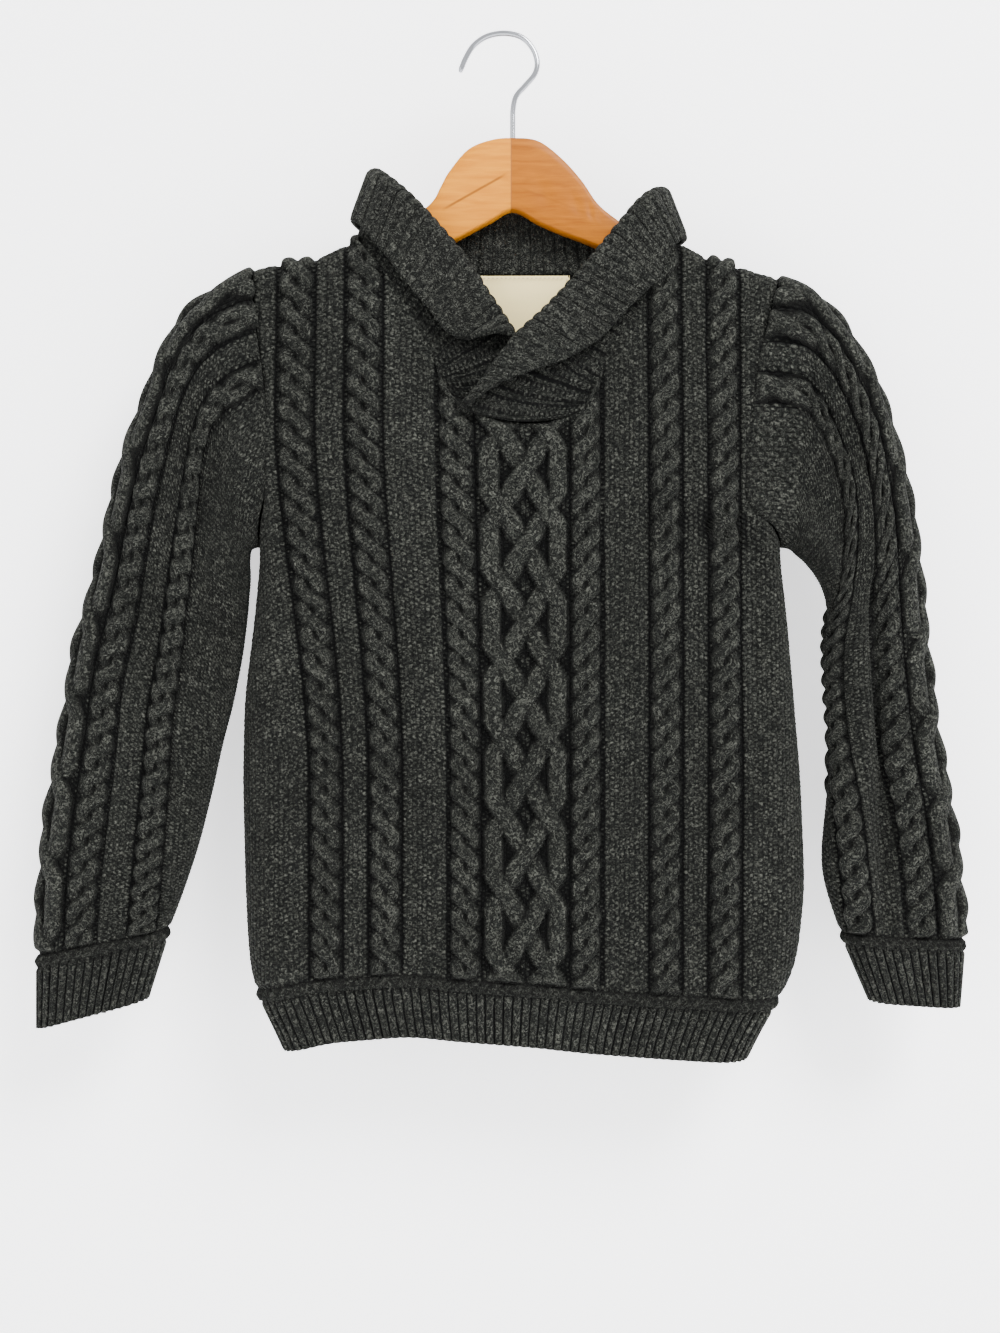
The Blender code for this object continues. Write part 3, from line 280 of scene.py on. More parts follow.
def layTwist(knit, aside, run, twist, slant=1.0):
    # two strands that turn round each other
    for start in (0.0, math.pi):
        turn = math.pi * run / twist["pitch"] + start
        slope = twist["swing"] * math.pi / twist["pitch"] * np.abs(np.sin(turn))
        layStrand(knit, aside - slant * twist["swing"] * np.cos(turn),
                  twist["lift"] * np.sin(turn), slope, run * twist["stretch"],
                  twist["half"], twist["crown"])


def braidPath(step):
    # slot and lift of a strand of the four-strand braid at a running step of eight
    step = np.mod(step + 0.5, 8.0) - 0.5
    knots = np.arange(-0.5, 8.5, 1.0)
    stops = np.array([cables["braidSlots"][k] for k in cables["braidOrder"]])
    index = np.clip(np.floor(step + 0.5).astype(int), 0, 7)
    part = step - knots[index]
    eased = 0.5 * part + 0.5 * ease(part)
    middle = stops[index] + (stops[index + 1] - stops[index]) * eased
    sign = np.where((index == 0) | (index == 1) | (index == 7), 1.0, -1.0)
    lift = sign * np.cos(math.pi * step)
    lift = np.where((index == 2) | (index == 6), 0.15, lift)
    slope = np.abs(stops[index + 1] - stops[index]) / cables["braidStep"]
    return middle, lift, slope


def layBraid(knit, aside, run):
    step = (run - cables["braidStart"]) / cables["braidStep"]
    for phase in (0.0, 2.0, 4.0, 6.0):
        middle, lift, slope = braidPath(step + phase)
        layStrand(knit, aside - middle, cables["braidLift"] * lift, slope,
                  run * cables["braidStretch"] + phase, cables["braidHalf"],
                  cables["braidCrown"])


def plainKnit(aside, run):
    # moss stitch: the ground between the cables
    column = aside / sweater["stitchWide"]
    row = run / sweater["stitchTall"]
    bumps = -np.sin(math.pi * column) * np.cos(math.pi * row)
    return {"height": cables["mossRise"] * bumps, "column": column, "row": row,
            "purl": np.ones_like(column)}


def layGroove(knit, aside, place):
    fall = np.exp(-(((aside - place) / cables["grooveHalf"]) ** 2))
    knit["height"] = knit["height"] - cables["grooveDepth"] * fall


def cableKnit(aside, run, ropes, slants):
    # the whole pattern: braid in the middle, ropes and grooves each side of it
    knit = plainKnit(aside, run)
    ground = np.abs(aside) < ropes[0][0] - 1.5
    knit["height"] = np.where(ground, cables["braidGround"], knit["height"])
    knit["purl"] = np.where(ground, cables["groundPurl"], knit["purl"])
    layBraid(knit, aside, run)
    for side, slant in zip((-1.0, 1.0), slants):
        for first, last in ropes:
            layTwist(knit, aside - side * (first + last) / 2.0, run, cables["rope"], slant)
            layGroove(knit, aside, side * first)
            layGroove(knit, aside, side * last)
    return knit


def soften(grid, passes):
    for turn in range(passes):
        for axis in (0, 1):
            padded = np.pad(grid, [(1, 1) if k == axis else (0, 0) for k in (0, 1)], mode="edge")
            low = np.take(padded, range(0, grid.shape[axis]), axis=axis)
            high = np.take(padded, range(2, grid.shape[axis] + 2), axis=axis)
            grid = (low + 2.0 * grid + high) / 4.0
    return grid


def findCrevices(knit, passes):
    # how far a point lies below or above the cloth round it; the wool's colour paints shade into
    # the hollows from it
    height = knit["height"] * np.ones_like(knit["column"])
    knit["crevice"] = height - soften(height, passes)


def makeMesh(name, bm):
    mesh = bpy.data.meshes.new(name)
    bm.to_mesh(mesh)
    bm.free()
    return mesh


def makePiece(name, mesh, material):
    mesh.shade_smooth()
    mesh.materials.append(material)
    piece = bpy.data.objects.new(name, mesh)
    bpy.context.scene.collection.objects.link(piece)
    return piece


def assign(piece, node):
    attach(piece, "root")
    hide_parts(node)


def thicken(piece, wall, offset):
    shell = piece.modifiers.new("wall", "SOLIDIFY")
    shell.thickness = wall * mm
    shell.offset = offset
    shell.use_even_offset = False


def layGrid(name, points, normals, knit, material, weld=False):
    # create_grid gives the faces; every point then goes to its own place
    columns, rows = points.shape[0] - 1, points.shape[1] - 1
    bm = bmesh.new()
    bmesh.ops.create_grid(bm, x_segments=columns, y_segments=rows, size=1.0)
    mesh = makeMesh(name, bm)
    flat = np.empty(len(mesh.vertices) * 3)
    mesh.vertices.foreach_get("co", flat)
    flat = flat.reshape(-1, 3)
    i = np.rint((flat[:, 0] + 1.0) / 2.0 * columns).astype(int)
    j = np.rint((flat[:, 1] + 1.0) / 2.0 * rows).astype(int)
    mesh.vertices.foreach_set("co", (points[i, j] * mm).ravel())
    stitch = np.stack([knit["column"], knit["row"], knit["purl"]], axis=-1)
    layer = mesh.attributes.new("stitch", "FLOAT_VECTOR", "POINT")
    layer.data.foreach_set("vector", stitch[i, j].astype(np.float32).ravel())
    if "crevice" in knit:
        depth = mesh.attributes.new("crevice", "FLOAT", "POINT")
        depth.data.foreach_set("value", knit["crevice"][i, j].astype(np.float32))
    mesh.update()
    middle = mesh.polygons[len(mesh.polygons) // 2 + columns // 2]
    corner = middle.vertices[0]
    if middle.normal.dot(Vector(normals[i[corner], j[corner]])) < 0.0:
        mesh.flip_normals()
    if weld:
        bm = bmesh.new()
        bm.from_mesh(mesh)
        bmesh.ops.remove_doubles(bm, verts=bm.verts, dist=0.02 * mm)
        bm.to_mesh(mesh)
        bm.free()
    return makePiece(name, mesh, material)


def turnIn(points, normals, knit, sides, ends):
    # cloth turned in round the edges, so that a seam has thickness
    steps = np.array([0.0, 0.9, 1.9, sweater["wall"]])
    count = len(steps) - 1
    pads = ((count, count) if sides else (0, 0), (count, count) if ends else (0, 0))
    points = np.pad(points, pads + ((0, 0),), mode="edge")
    normals = np.pad(normals, pads + ((0, 0),), mode="edge")
    knit = {key: np.pad(value, pads, mode="edge") for key, value in knit.items()}
    past = []
    for axis, padded in ((0, sides), (1, ends)):
        size = points.shape[axis]
        index = np.arange(size)
        over = np.maximum(np.maximum(count - index, index - (size - 1 - count)), 0)
        past.append(over if padded else np.zeros(size, dtype=int))
    over = np.maximum(past[0][:, None], past[1][None, :])
    return points - normals * steps[over][..., None], normals, knit


def declareCloth(piece, node):
    assign(piece, node)


# Materials

def setInputs(tree, made, inputs):
    for key, value in inputs.items():
        if isinstance(value, bpy.types.NodeSocket):
            tree.links.new(value, made.inputs[key])
        else:
            made.inputs[key].default_value = value


def addNode(tree, kind, inputs=None, **settings):
    made = tree.nodes.new(kind)
    for key, value in settings.items():
        setattr(made, key, value)
    setInputs(tree, made, inputs or {})
    return made


def addNoise(tree, vector, scale, detail, roughness=0.5, distortion=0.0):
    return addNode(tree, "ShaderNodeTexNoise", {
        "Vector": vector, "Scale": scale, "Detail": detail, "Roughness": roughness,
        "Distortion": distortion})


def mapRange(tree, value, low, high, toLow=0.0, toHigh=1.0):
    return addNode(tree, "ShaderNodeMapRange", {
        "Value": value, "From Min": low, "From Max": high, "To Min": toLow,
        "To Max": toHigh}).outputs[0]


def calc(tree, operation, first, second=None):
    inputs = {0: first} if second is None else {0: first, 1: second}
    return addNode(tree, "ShaderNodeMath", inputs, operation=operation).outputs[0]


def mathTools(tree, *kinds):
    # short names for one material's arithmetic
    return [lambda first, second=None, kind=kind: calc(tree, kind, first, second)
            for kind in kinds]


def blend(tree, factor, first, second):
    made = addNode(tree, "ShaderNodeMix", data_type="RGBA")
    for name, value in (("Factor", factor), ("A", first), ("B", second)):
        socket = [s for s in made.inputs if s.name == name and s.enabled][0]
        if isinstance(value, bpy.types.NodeSocket):
            tree.links.new(value, socket)
        else:
            socket.default_value = value
    return [s for s in made.outputs if s.enabled][0]


def newMaterial(name):
    material = bpy.data.materials.new(name)
    material.use_nodes = True
    return material, material.node_tree, material.node_tree.nodes["Principled BSDF"]


wool = {
    # deep: near-black painted shade, blended into the crevices and the gaps between the yarn's
    # legs
    "deep": (0.0012, 0.0013, 0.0013, 1.0),
    "dark": (0.0030, 0.0033, 0.0031, 1.0),
    "middle": (0.0092, 0.0099, 0.0087, 1.0),
    "light": (0.060, 0.062, 0.053, 1.0),
    "fleckSize": 0.0021,
    "bumpDepth": 0.0013,
    "fuzz": 0.4,
    "sheen": 0.025,
    "wander": 0.9,           # how far stitches stray from their even rows
    "straySize": 0.0045,
    "fibreSize": 0.0009,
    "legSlant": 1.8,
    "creviceShade": 0.62,
    "fleckRange": (0.50, 0.72),
    "groundRange": (0.30, 0.55),
    # the range over which the painted shade in crevices and between the yarn's legs fades out
    "paintedShadeRange": (-0.30, 0.62),
    "driftRange": (0.35, 0.7, 0.86, 1.12),
    "sheenTint": (0.7, 0.72, 0.66, 1.0),
}


def makeWool():
    material, tree, shader = newMaterial("heatheredWool")
    plus, minus, times, fraction, sine = mathTools(
        tree, "ADD", "SUBTRACT", "MULTIPLY", "FRACT", "SINE")
    stitch = addNode(tree, "ShaderNodeAttribute", attribute_name="stitch")
    place = addNode(tree, "ShaderNodeTexCoord").outputs["Object"]
    stray = addNoise(tree, place, 1.0 / wool["straySize"], 1.0)
    parts = addNode(tree, "ShaderNodeSeparateXYZ", {0: stitch.outputs["Vector"]})
    shift = addNode(tree, "ShaderNodeSeparateXYZ", {0: stray.outputs["Color"]})
    column, row = [plus(parts.outputs[k], times(minus(shift.outputs[k], 0.5), wool["wander"]))
                   for k in (0, 1)]

    # knit side: two legs of a V in each column
    aside = calc(tree, "ABSOLUTE", minus(fraction(column), 0.5))
    leg = calc(tree, "MAXIMUM", sine(times(aside, 2.0 * math.pi)), 0.0)
    legRow = fraction(minus(row, times(aside, wool["legSlant"])))
    legCrown = sine(times(legRow, math.pi))
    knitSide = times(calc(tree, "POWER", leg, 0.7), plus(times(legCrown, 0.8), 0.2))

    # purl side: staggered bumps two rows tall
    odd = times(calc(tree, "MODULO", calc(tree, "FLOOR", column), 2.0), 0.5)
    mossTall = sine(times(fraction(plus(times(row, 0.5), odd)), math.pi))
    mossWide = sine(times(fraction(column), math.pi))
    change = minus(times(mossTall, mossWide), knitSide)
    yarn = plus(knitSide, times(parts.outputs[2], change))

    # fibres: fine noise over everything, and flecks of pale wool spun into the yarn
    fibre = addNoise(tree, place, 1.0 / wool["fibreSize"], 3.0, 0.7).outputs["Fac"]
    spun = addNoise(tree, place, 1.0 / wool["fleckSize"], 2.0, 0.6, 1.5).outputs["Fac"]
    wide = addNoise(tree, place, 22.0, 3.0).outputs["Fac"]
    shade = mapRange(tree, spun, *wool["groundRange"])
    fleck = mapRange(tree, spun, *wool["fleckRange"])
    flecked = blend(tree, fleck, blend(tree, shade, wool["dark"], wool["middle"]), wool["light"])
    # painted shade: where the yarn dips and where the cloth lies in a crevice, the colour is
    # blended towards the near-black deep tone
    crevice = addNode(tree, "ShaderNodeAttribute", attribute_name="crevice").outputs["Fac"]
    gap = plus(yarn, times(crevice, wool["creviceShade"]))
    paintedShade = mapRange(tree, gap, *wool["paintedShadeRange"])
    tint = addNode(tree, "ShaderNodeHueSaturation", {
        "Color": blend(tree, paintedShade, wool["deep"], flecked),
        "Value": mapRange(tree, wide, *wool["driftRange"])})
    bump = addNode(tree, "ShaderNodeBump", {
        "Height": plus(yarn, times(fibre, wool["fuzz"])), "Distance": wool["bumpDepth"],
        "Strength": 0.9})
    setInputs(tree, shader, {
        "Base Color": tint.outputs[0], "Normal": bump.outputs[0], "Roughness": 0.93,
        "Specular IOR Level": 0.04, "Sheen Weight": wool["sheen"], "Sheen Roughness": 0.5,
        "Sheen Tint": wool["sheenTint"]})
    return material


woolMaterial = makeWool()
print("materials: wool made")

# Front and back
panels = {
    "frontColumns": 268,
    "frontRows": 340,
    "backColumns": 196,
    "backRows": 250,
    "topStart": -140.0,      # first guess of the upper edge
    "crevicePasses": 16,
}


def layPanel(name, face, columns, rows):
    side, up = unitGrid(columns, rows)
    bottom = np.full_like(side, sweater["hemLine"])
    top = np.full_like(side, panels["topStart"])
    for attempt in range(8):
        bottom = hemLine(acrossAt(panelEdge, side, bottom))
        across = acrossAt(panelEdge, side, top)
        inNeck = (across > neckTable[0][0]) & (across < neckTable[-1][0])
        top = np.where(inNeck, neckHeight(face, across), shoulderLine(across))
    vBottom = clothDistance(acrossAt(panelEdge, side, bottom), bottom)
    vTop = np.where(inNeck, clothDistance(across, top), 0.0)
    v = vBottom + up * (vTop - vBottom)
    z = bottom + up * (top - bottom)
    for attempt in range(16):
        across = acrossAt(panelEdge, side, z)
        z = (z + shoulderLine(across) - clothDrop(v)) / 2.0
    across = acrossAt(panelEdge, side, z)
    base = bodyPoint(face, across, v)
    normals = gridNormals(base, np.array([0.0, face, 0.0]))

    left, right = panelEdge(z, True), panelEdge(z, False)
    toSeam = np.minimum(np.minimum(across - left, right - across),
                        np.minimum(vBottom - v, v - vTop))
    offset = across - sweater["cableCentre"]
    fan = 1.0 + sweater["fanLeft"] * ease((z + 446.0) / 224.0)
    offset = np.where(offset < 0.0, offset / fan, offset)
    knit = cableKnit(offset, z, cables["ropes"], (1.0, -1.0))
    knit["height"] = knit["height"] * ease(toSeam / 4.0) - seamDip(toSeam)
    findCrevices(knit, panels["crevicePasses"])
    points = base + normals * knit["height"][..., None]
    if face < 0:
        points, normals, knit = turnIn(points, normals, knit, True, True)
    piece = layGrid(name, points, normals, knit, woolMaterial)
    if face > 0:
        thicken(piece, sweater["wall"], -1.0)
    declareCloth(piece, name.replace("Panel", ""))


layPanel("frontPanel", -1, panels["frontColumns"], panels["frontRows"])
layPanel("backPanel", 1, panels["backColumns"], panels["backRows"])
print("front and back laid")

# Sleeves. Rings: outer x, outer z, inner x, inner z, half depth
sleeves = {
    "columns": 200,
    "rows": 336,
    "ropes": ((26.0, 45.0), (65.0, 81.0)),
    "blend": 1.2,            # rings over which the armhole's form dies out
    "ripple": 0.5,
    "crevicePasses": 16,
}
leftRings = (
    (-151, -141.5, -146.5, -306.5, 18),
    (-170, -152.5, -152.5, -308.5, 18),
    (-188, -165.5, -154, -317, 18),
    (-203, -188, -153.5, -327, 18),
    (-213.5, -216, -154.3, -338, 18),
    (-226.5, -252, -155.3, -352, 17.5),
    (-236.5, -289, -158, -376, 17),
    (-244.5, -327, -163, -402, 17),
    (-256.5, -369, -170, -427, 16.5),
    (-264.5, -415, -177, -457, 16),
    (-272, -462, -184, -487, 15.5),
    (-277.5, -507, -192.5, -513, 15),
    (-280, -550.5, -201.5, -534.5, 14),
)
rightRings = (
    (163.5, -148, 164.5, -306.5, 18),
    (178, -152.5, 171, -308, 18),
    (196, -166.5, 175, -311.5, 18),
    (211, -189, 180.5, -316.5, 18),
    (224.5, -217, 186, -323.5, 18),
    (235.5, -255, 191, -333, 17.5),
    (243, -292, 194, -346, 17),
    (248.5, -335, 194, -366, 17),
    (253.5, -378, 195, -393, 16.5),
    (259, -425, 196, -426, 16),
    (265.5, -462, 192.5, -459, 15.5),
    (271.5, -504, 191, -500, 15),
    (275, -541, 201.5, -537, 14),
)
leftSleeveFolds = (
    ((-163, -222), (-180, -285), 9, 7),
    ((-180, -285), (-180, -356), 9, 6),
    ((-150, -312), (-164, -352), 12, 10),
    ((-206, -228), (-214, -300), 13, -2.5),
    ((-236, -390), (-246, -520), 9, 2.5),
)
rightSleeveFolds = (
    ((221, -338), (226, -520), 6, 8.5),
    ((207, -360), (209, -505), 10, -2.5),
    ((178, -215), (214, -262), 9, 5),
    ((168, -262), (196, -300), 11, 4),
    ((203, -318), (221, -352), 9, 4),
)


def splineRows(rows, places):
    # smooth rows between the ones of a table
    table = np.array(rows)
    last = len(table) - 1
    index = np.clip(places.astype(int), 0, last - 1)
    t = (places - index)[:, None]
    p0 = table[np.maximum(index - 1, 0)]
    p1 = table[index]
    p2 = table[index + 1]
    p3 = table[np.minimum(index + 2, last)]
    return 0.5 * (2.0 * p1 + (p2 - p0) * t + (2.0 * p0 - 5.0 * p1 + 4.0 * p2 - p3) * t * t
                  + (3.0 * p1 - p0 - 3.0 * p2 + p3) * t * t * t)


def ringSizes(rings):
    chord = np.hypot(rings[:, 2] - rings[:, 0], rings[:, 3] - rings[:, 1])
    rounding = np.minimum(rings[:, 4] * 1.15, chord * 0.35)
    quarter = math.pi / 2.0 * np.sqrt((rounding ** 2 + rings[:, 4] ** 2) / 2.0)
    return chord, rounding, quarter, chord - 2.0 * rounding


def halfGirth(rings):
    quarter, flat = ringSizes(rings)[2:]
    return 2.0 * quarter + flat


def tubeNormals(base, rings):
    # away from the rings' middles, and the same on both sides of the closing line
    centre = np.zeros((1, len(rings), 3))
    centre[0, :, 0::2] = (rings[:, 0:2] + rings[:, 2:4]) / 2.0
    normals = gridNormals(base, base - centre)
    edge = (normals[0] + normals[-1]) / 2.0
    normals[0] = normals[-1] = edge / np.linalg.norm(edge, axis=-1, keepdims=True)
    return normals


def ringPoints(rings, signed, folds):
    # points of every ring at signed cloth distances from its outer edge
    chord, rounding, quarter, flat = (size[None, :] for size in ringSizes(rings))
    depth = rings[:, 4][None, :]
    distance = np.abs(signed)
    first = distance < quarter
    final = distance > quarter + flat
    turn = np.where(first, distance, 2.0 * quarter + flat - distance) / quarter * math.pi / 2.0
    turn = np.clip(turn, 0.0, math.pi / 2.0)
    corner = rounding * (1.0 - np.cos(turn))
    along = np.where(first, corner, np.where(final, chord - corner, rounding + distance - quarter))
    out = depth * np.where(first | final, np.sin(turn), 1.0)
    share = along / chord
    x = rings[:, 0] + (rings[:, 2] - rings[:, 0]) * share
    z = rings[:, 1] + (rings[:, 3] - rings[:, 1]) * share
    facing = np.where(signed >= 0.0, -1.0, 1.0)
    if folds:
        front = np.where(signed >= 0.0, 1.0, 0.0)
        out = out - foldDepth(folds, x, z) * ease(out / depth) * front
    return np.stack([x, facing * out, z], axis=-1)


def armholeLine(left, face):
    # the armhole from the shoulder to the armpit
    table = armholeLeft if left else armholeRight
    radius = sweater["shoulderRound"]
    roll = radius * math.pi / 2.0
    rolledV = np.linspace(0.0, roll, 6)[:-1]
    rolledX = np.full_like(rolledV, table[0][1])
    topZ = float(shoulderLine(table[0][1])) - radius
    z = np.arange(topZ, sweater["armpit"], -2.0)
    z = np.append(z, sweater["armpit"])
    x = panelEdge(z, left)
    v = clothDistance(x, z)
    return bodyPoint(face, np.append(rolledX, x), np.append(rolledV, v))


def alongLine(points, shares):
    lengths = runLengths(points)
    wanted = shares * lengths[-1]
    return np.stack([np.interp(wanted, lengths, points[:, k]) for k in range(3)], axis=-1)


def laySleeve(name, node, rings, folds, left):
    columns, rows = sleeves["columns"], sleeves["rows"]
    rough = np.linspace(0.0, len(rings) - 1.0, 400)
    roughRings = splineRows(rings, rough)
    lengths = runLengths(roughRings[:, 0:2] * 0.7 + roughRings[:, 2:4] * 0.3)
    runs = np.linspace(0.0, lengths[-1], rows + 1)
    places = np.interp(runs, lengths, rough)
    ringRows = splineRows(rings, places)
    half = halfGirth(ringRows)
    side = np.linspace(-1.0, 1.0, columns + 1)[:, None]
    signed = side * half[None, :]
    base = ringPoints(ringRows, signed, folds)
    shares = np.abs(side[:, 0])
    front = alongLine(armholeLine(left, -1), shares)
    back = alongLine(armholeLine(left, 1), shares)
    arm = np.where(side >= 0.0, front, back)
    weight = ease(places / sleeves["blend"])[None, :, None]
    base = arm[:, None, :] * (1.0 - weight) + base * weight
    ripple = sleeves["ripple"] * np.sin(base[..., 2] / 23.0 + base[..., 0] / 17.0)
    normals = tubeNormals(base, ringRows)

    run = np.broadcast_to(-runs[None, :], signed.shape)
    knit = cableKnit(signed, run, sleeves["ropes"], (1.0, -1.0) if left else (-1.0, 1.0))
    toSeam = np.minimum(runs, lengths[-1] - runs)[None, :]
    settle = ease(toSeam / 4.0) * ease((half[None, :] - np.abs(signed)) / 3.0)
    knit["height"] = knit["height"] * settle - seamDip(toSeam)
    findCrevices(knit, sleeves["crevicePasses"])
    points = base + normals * (knit["height"] + ripple)[..., None]
    points, normals, knit = turnIn(points, normals, knit, False, True)
    piece = layGrid(name, points, normals, knit, woolMaterial, weld=True)
    declareCloth(piece, node)


laySleeve("leftSleeve", "sleeve_left", leftRings, leftSleeveFolds, True)
laySleeve("rightSleeve", "sleeve_right", rightRings, rightSleeveFolds, False)
print("sleeves laid")

# Hem and cuffs: a plaited line over 1x1 rib
welts = {
    "ribPitch": 5.5,
    "ribRise": 1.15,
    "hemTall": 36.9,
    "hemColumns": 488,
    "hemRows": 25,
    "cuffColumns": 250,
    "cuffRows": 27,
    "plaitTall": 7.5,
    "plait": {"pitch": 6.5, "swing": 2.1, "lift": 0.7, "half": 1.3, "crown": 1.3,
              "stretch": 1.15},
    "plaitGround": 0.2,
    "edgeRound": 0.5,
    "crevicePasses": 24,
    "wall": 2.6,
}
leftCuffRings = ((-280, -551.3, -201.7, -535.3, 14), (-280, -594.5, -214.8, -577, 13))
rightCuffRings = ((275, -541.9, 201.7, -537.9, 14), (272, -581.5, 219, -578, 13))


def ribKnit(aside, run, pitch, rise):
    wave = np.abs(np.sin(math.pi * aside / pitch))
    return {"height": rise * (2.0 * np.sqrt(wave) - 1.0), "column": aside / pitch,
            "row": run / sweater["stitchTall"], "purl": np.where(wave < 0.45, 1.0, 0.0)}


def weltKnit(aside, down):
    knit = ribKnit(aside, -down, welts["ribPitch"], welts["ribRise"])
    tall = welts["plaitTall"]
    gate = ease((down - tall) / 2.0)
    knit["height"] = knit["height"] * gate - welts["plaitGround"] * (1.0 - gate)
    layTwist(knit, down - tall / 2.0, aside, welts["plait"])
    return knit


def layHem(name, node, face):
    side, share = unitGrid(welts["hemColumns"], welts["hemRows"])
    down = share * welts["hemTall"]
    top = np.full_like(side, sweater["hemLine"])
    for attempt in range(5):
        top = hemLine(acrossAt(sideSeam, side, top))
    z = top - down
    across = acrossAt(sideSeam, side, z)
    base = bodyPoint(face, across, clothDistance(across, z))
    normals = gridNormals(base, np.array([0.0, face, 0.0]))
    span = float(sideSeam(sweater["hemLine"], False) - sideSeam(sweater["hemLine"], True))
    knit = weltKnit(side * span, down)
    toSeam = np.minimum(down, np.minimum(side, 1.0 - side) * span)
    edgeRound = welts["edgeRound"] * ease((down - welts["hemTall"] + 2.0) / 2.0)
    knit["height"] = knit["height"] * ease(toSeam / 2.0) - seamDip(toSeam)
    findCrevices(knit, welts["crevicePasses"])
    points = base + normals * (knit["height"] - edgeRound)[..., None]
    piece = layGrid(name, points, normals, knit, woolMaterial)
    thicken(piece, welts["wall"], -1.0)
    declareCloth(piece, node)


def layCuff(name, node, ends):
    columns, rows = welts["cuffColumns"], welts["cuffRows"]
    share = np.linspace(-0.02, 1.0, rows + 1)
    upper, lower = np.array(ends)
    rings = upper * (1.0 - share[:, None]) + lower * share[:, None]
    half = halfGirth(rings)
    side = np.linspace(-1.0, 1.0, columns + 1)[:, None]
    base = ringPoints(rings, side * half[None, :], ())
    normals = tubeNormals(base, rings)
    tall = math.hypot(ends[1][2] - ends[0][2], ends[1][3] - ends[0][3])
    down = (share - share[0])[None, :] * tall * np.ones((columns + 1, 1))
    count = round(2.0 * half[0] / welts["ribPitch"])
    knit = weltKnit((side + 1.0) / 2.0 * count * welts["ribPitch"] * np.ones_like(down), down)
    knit["height"] = knit["height"] * ease(down / 2.0) - seamDip(down)
    findCrevices(knit, welts["crevicePasses"])
    points = base + normals * knit["height"][..., None]
    piece = layGrid(name, points, normals, knit, woolMaterial, weld=True)
    thicken(piece, welts["wall"], -1.0)
    declareCloth(piece, node)


layHem("frontHem", "hem_front", -1)
layHem("backHem", "hem_back", 1)
layCuff("leftCuff", "cuff_left", leftCuffRings)
layCuff("rightCuff", "cuff_right", rightCuffRings)
print("hem and cuffs laid")

# Shawl collar. Rows from the wearer's left end round the back: part of the neckline and
# the seam's height or place across there; fold x, y, z; outward x, y, z; turn in degrees;
# cloth past the fold; drop of the section's middle
collar = {
    "wall": 3.2,
    "ribPitch": 7.0,
    "ribRise": 1.0,
    "foldArc": 12.0,
    "flatArc": 40.0,
    "flatTurn": 40.0,
    "seamLift": -2.0,        # the band's edge reaches into the panels' seam
    "columns": 600,
    "rows": 50,
    "corners": (-28.0, 43.0),
    "crevicePasses": 40,
}
collarTable = (
    ("right", -228, -26.5, -24.5, -223, 0, -1, 0, 150, 3, 8.6),
    ("right", -224, -17.5, -24.5, -212, 0, -1, 0.1, 165, 9, 6.5),
    ("right", -219, -8, -25, -200, 0, -1, 0.1, 176, 17, 3),
    ("right", -211, 6, -24.5, -184, 0, -1, 0.1, 178, 26, 0),
    ("right", -191, 22.5, -21, -168, 0.1, -1, 0.1, 180, 31, 0),
    ("right", -168, 39, -16, -150, 0.2, -1, 0.1, 180, 32, 0),
    ("right", -151, 54.5, -17, -131.5, 0.3, -1, 0.1, 180, 33, 0),
    ("right", -133, 76.5, -16.5, -104, 0.7, -1, 0.2, 180, 29, 0),
    ("right", -123, 88.5, 0.5, -93, 1, 0, 0.3, 180, 29, 0),
    ("back", 88, 80, 10.5, -99, 0.7, 1, 0.1, 180, 29, 0),
    ("back", 72, 66, 13.5, -109.5, 0.3, 1, 0, 180, 29, 0),
    ("back", 45, 42, 14.5, -107, 0.1, 1, 0, 180, 31, 0),
    ("back", 6, 6, 15.5, -99.5, 0, 1, 0, 180, 33, 0),
    ("back", -42, -34, 14.5, -104.5, -0.1, 1, 0, 180, 32, 0),
    ("back", -62, -50, 13.5, -101, -0.3, 1, 0, 180, 30, 0),
    ("back", -78, -63, 11, -90.5, -0.7, 1, 0.1, 180, 29, 0),
    ("left", -123, -72.5, 0.5, -81.5, -1, 0, 0.3, 180, 29, 0),
    ("left", -139, -57, -12.5, -96.5, -1, -0.8, 0.2, 180, 31, 0),
    ("left", -149, -44.5, -13.5, -110, -0.5, -1, 0.1, 180, 32, 0),
    ("left", -168, -28.5, -12.5, -129, -0.2, -1, 0.1, 180, 33, 0),
    ("left", -178, -20, -11.5, -140.5, -0.1, -1, 0.1, 180, 32, 0),
    ("left", -193, -9, -8.5, -158, -0.1, -1, 0.1, 180, 30, 0),
    ("left", -200, -1, -6.5, -170, 0, -1, 0.1, 176, 22, 0),
    ("left", -207, 8, -6.5, -185, 0, -1, 0.1, 110, 3, 1),
    ("left", -213, 20, -8, -203, 0, -1, 0, 25, 3, 4),
    ("left", -221, 38, -10.8, -227, 0, -1, 0, 0, 3, 8.6),
)


def neckPath():
    # middle of the panels' neck edges, from the wearer's left corner round to the right one
    leftTop, rightTop = neckTable[0][0] + 1.0, neckTable[-1][0] - 1.0
    parts = {}
    for part, face, start, end in (("right", -1, collar["corners"][1], rightTop),
                                   ("back", 1, rightTop, leftTop),
                                   ("left", -1, leftTop, collar["corners"][0])):
        across = np.linspace(start, end, 80)
        v = clothDistance(across, neckHeight(face, across))
        points = bodyPoint(face, across, v)
        tilt = ease(np.abs(points[:, 1]) / 9.0)
        inward = np.stack([0.0 * tilt, -face * tilt, tilt - 1.0], axis=-1)
        parts[part] = points + inward * sweater["wall"] / 2.0
    return parts


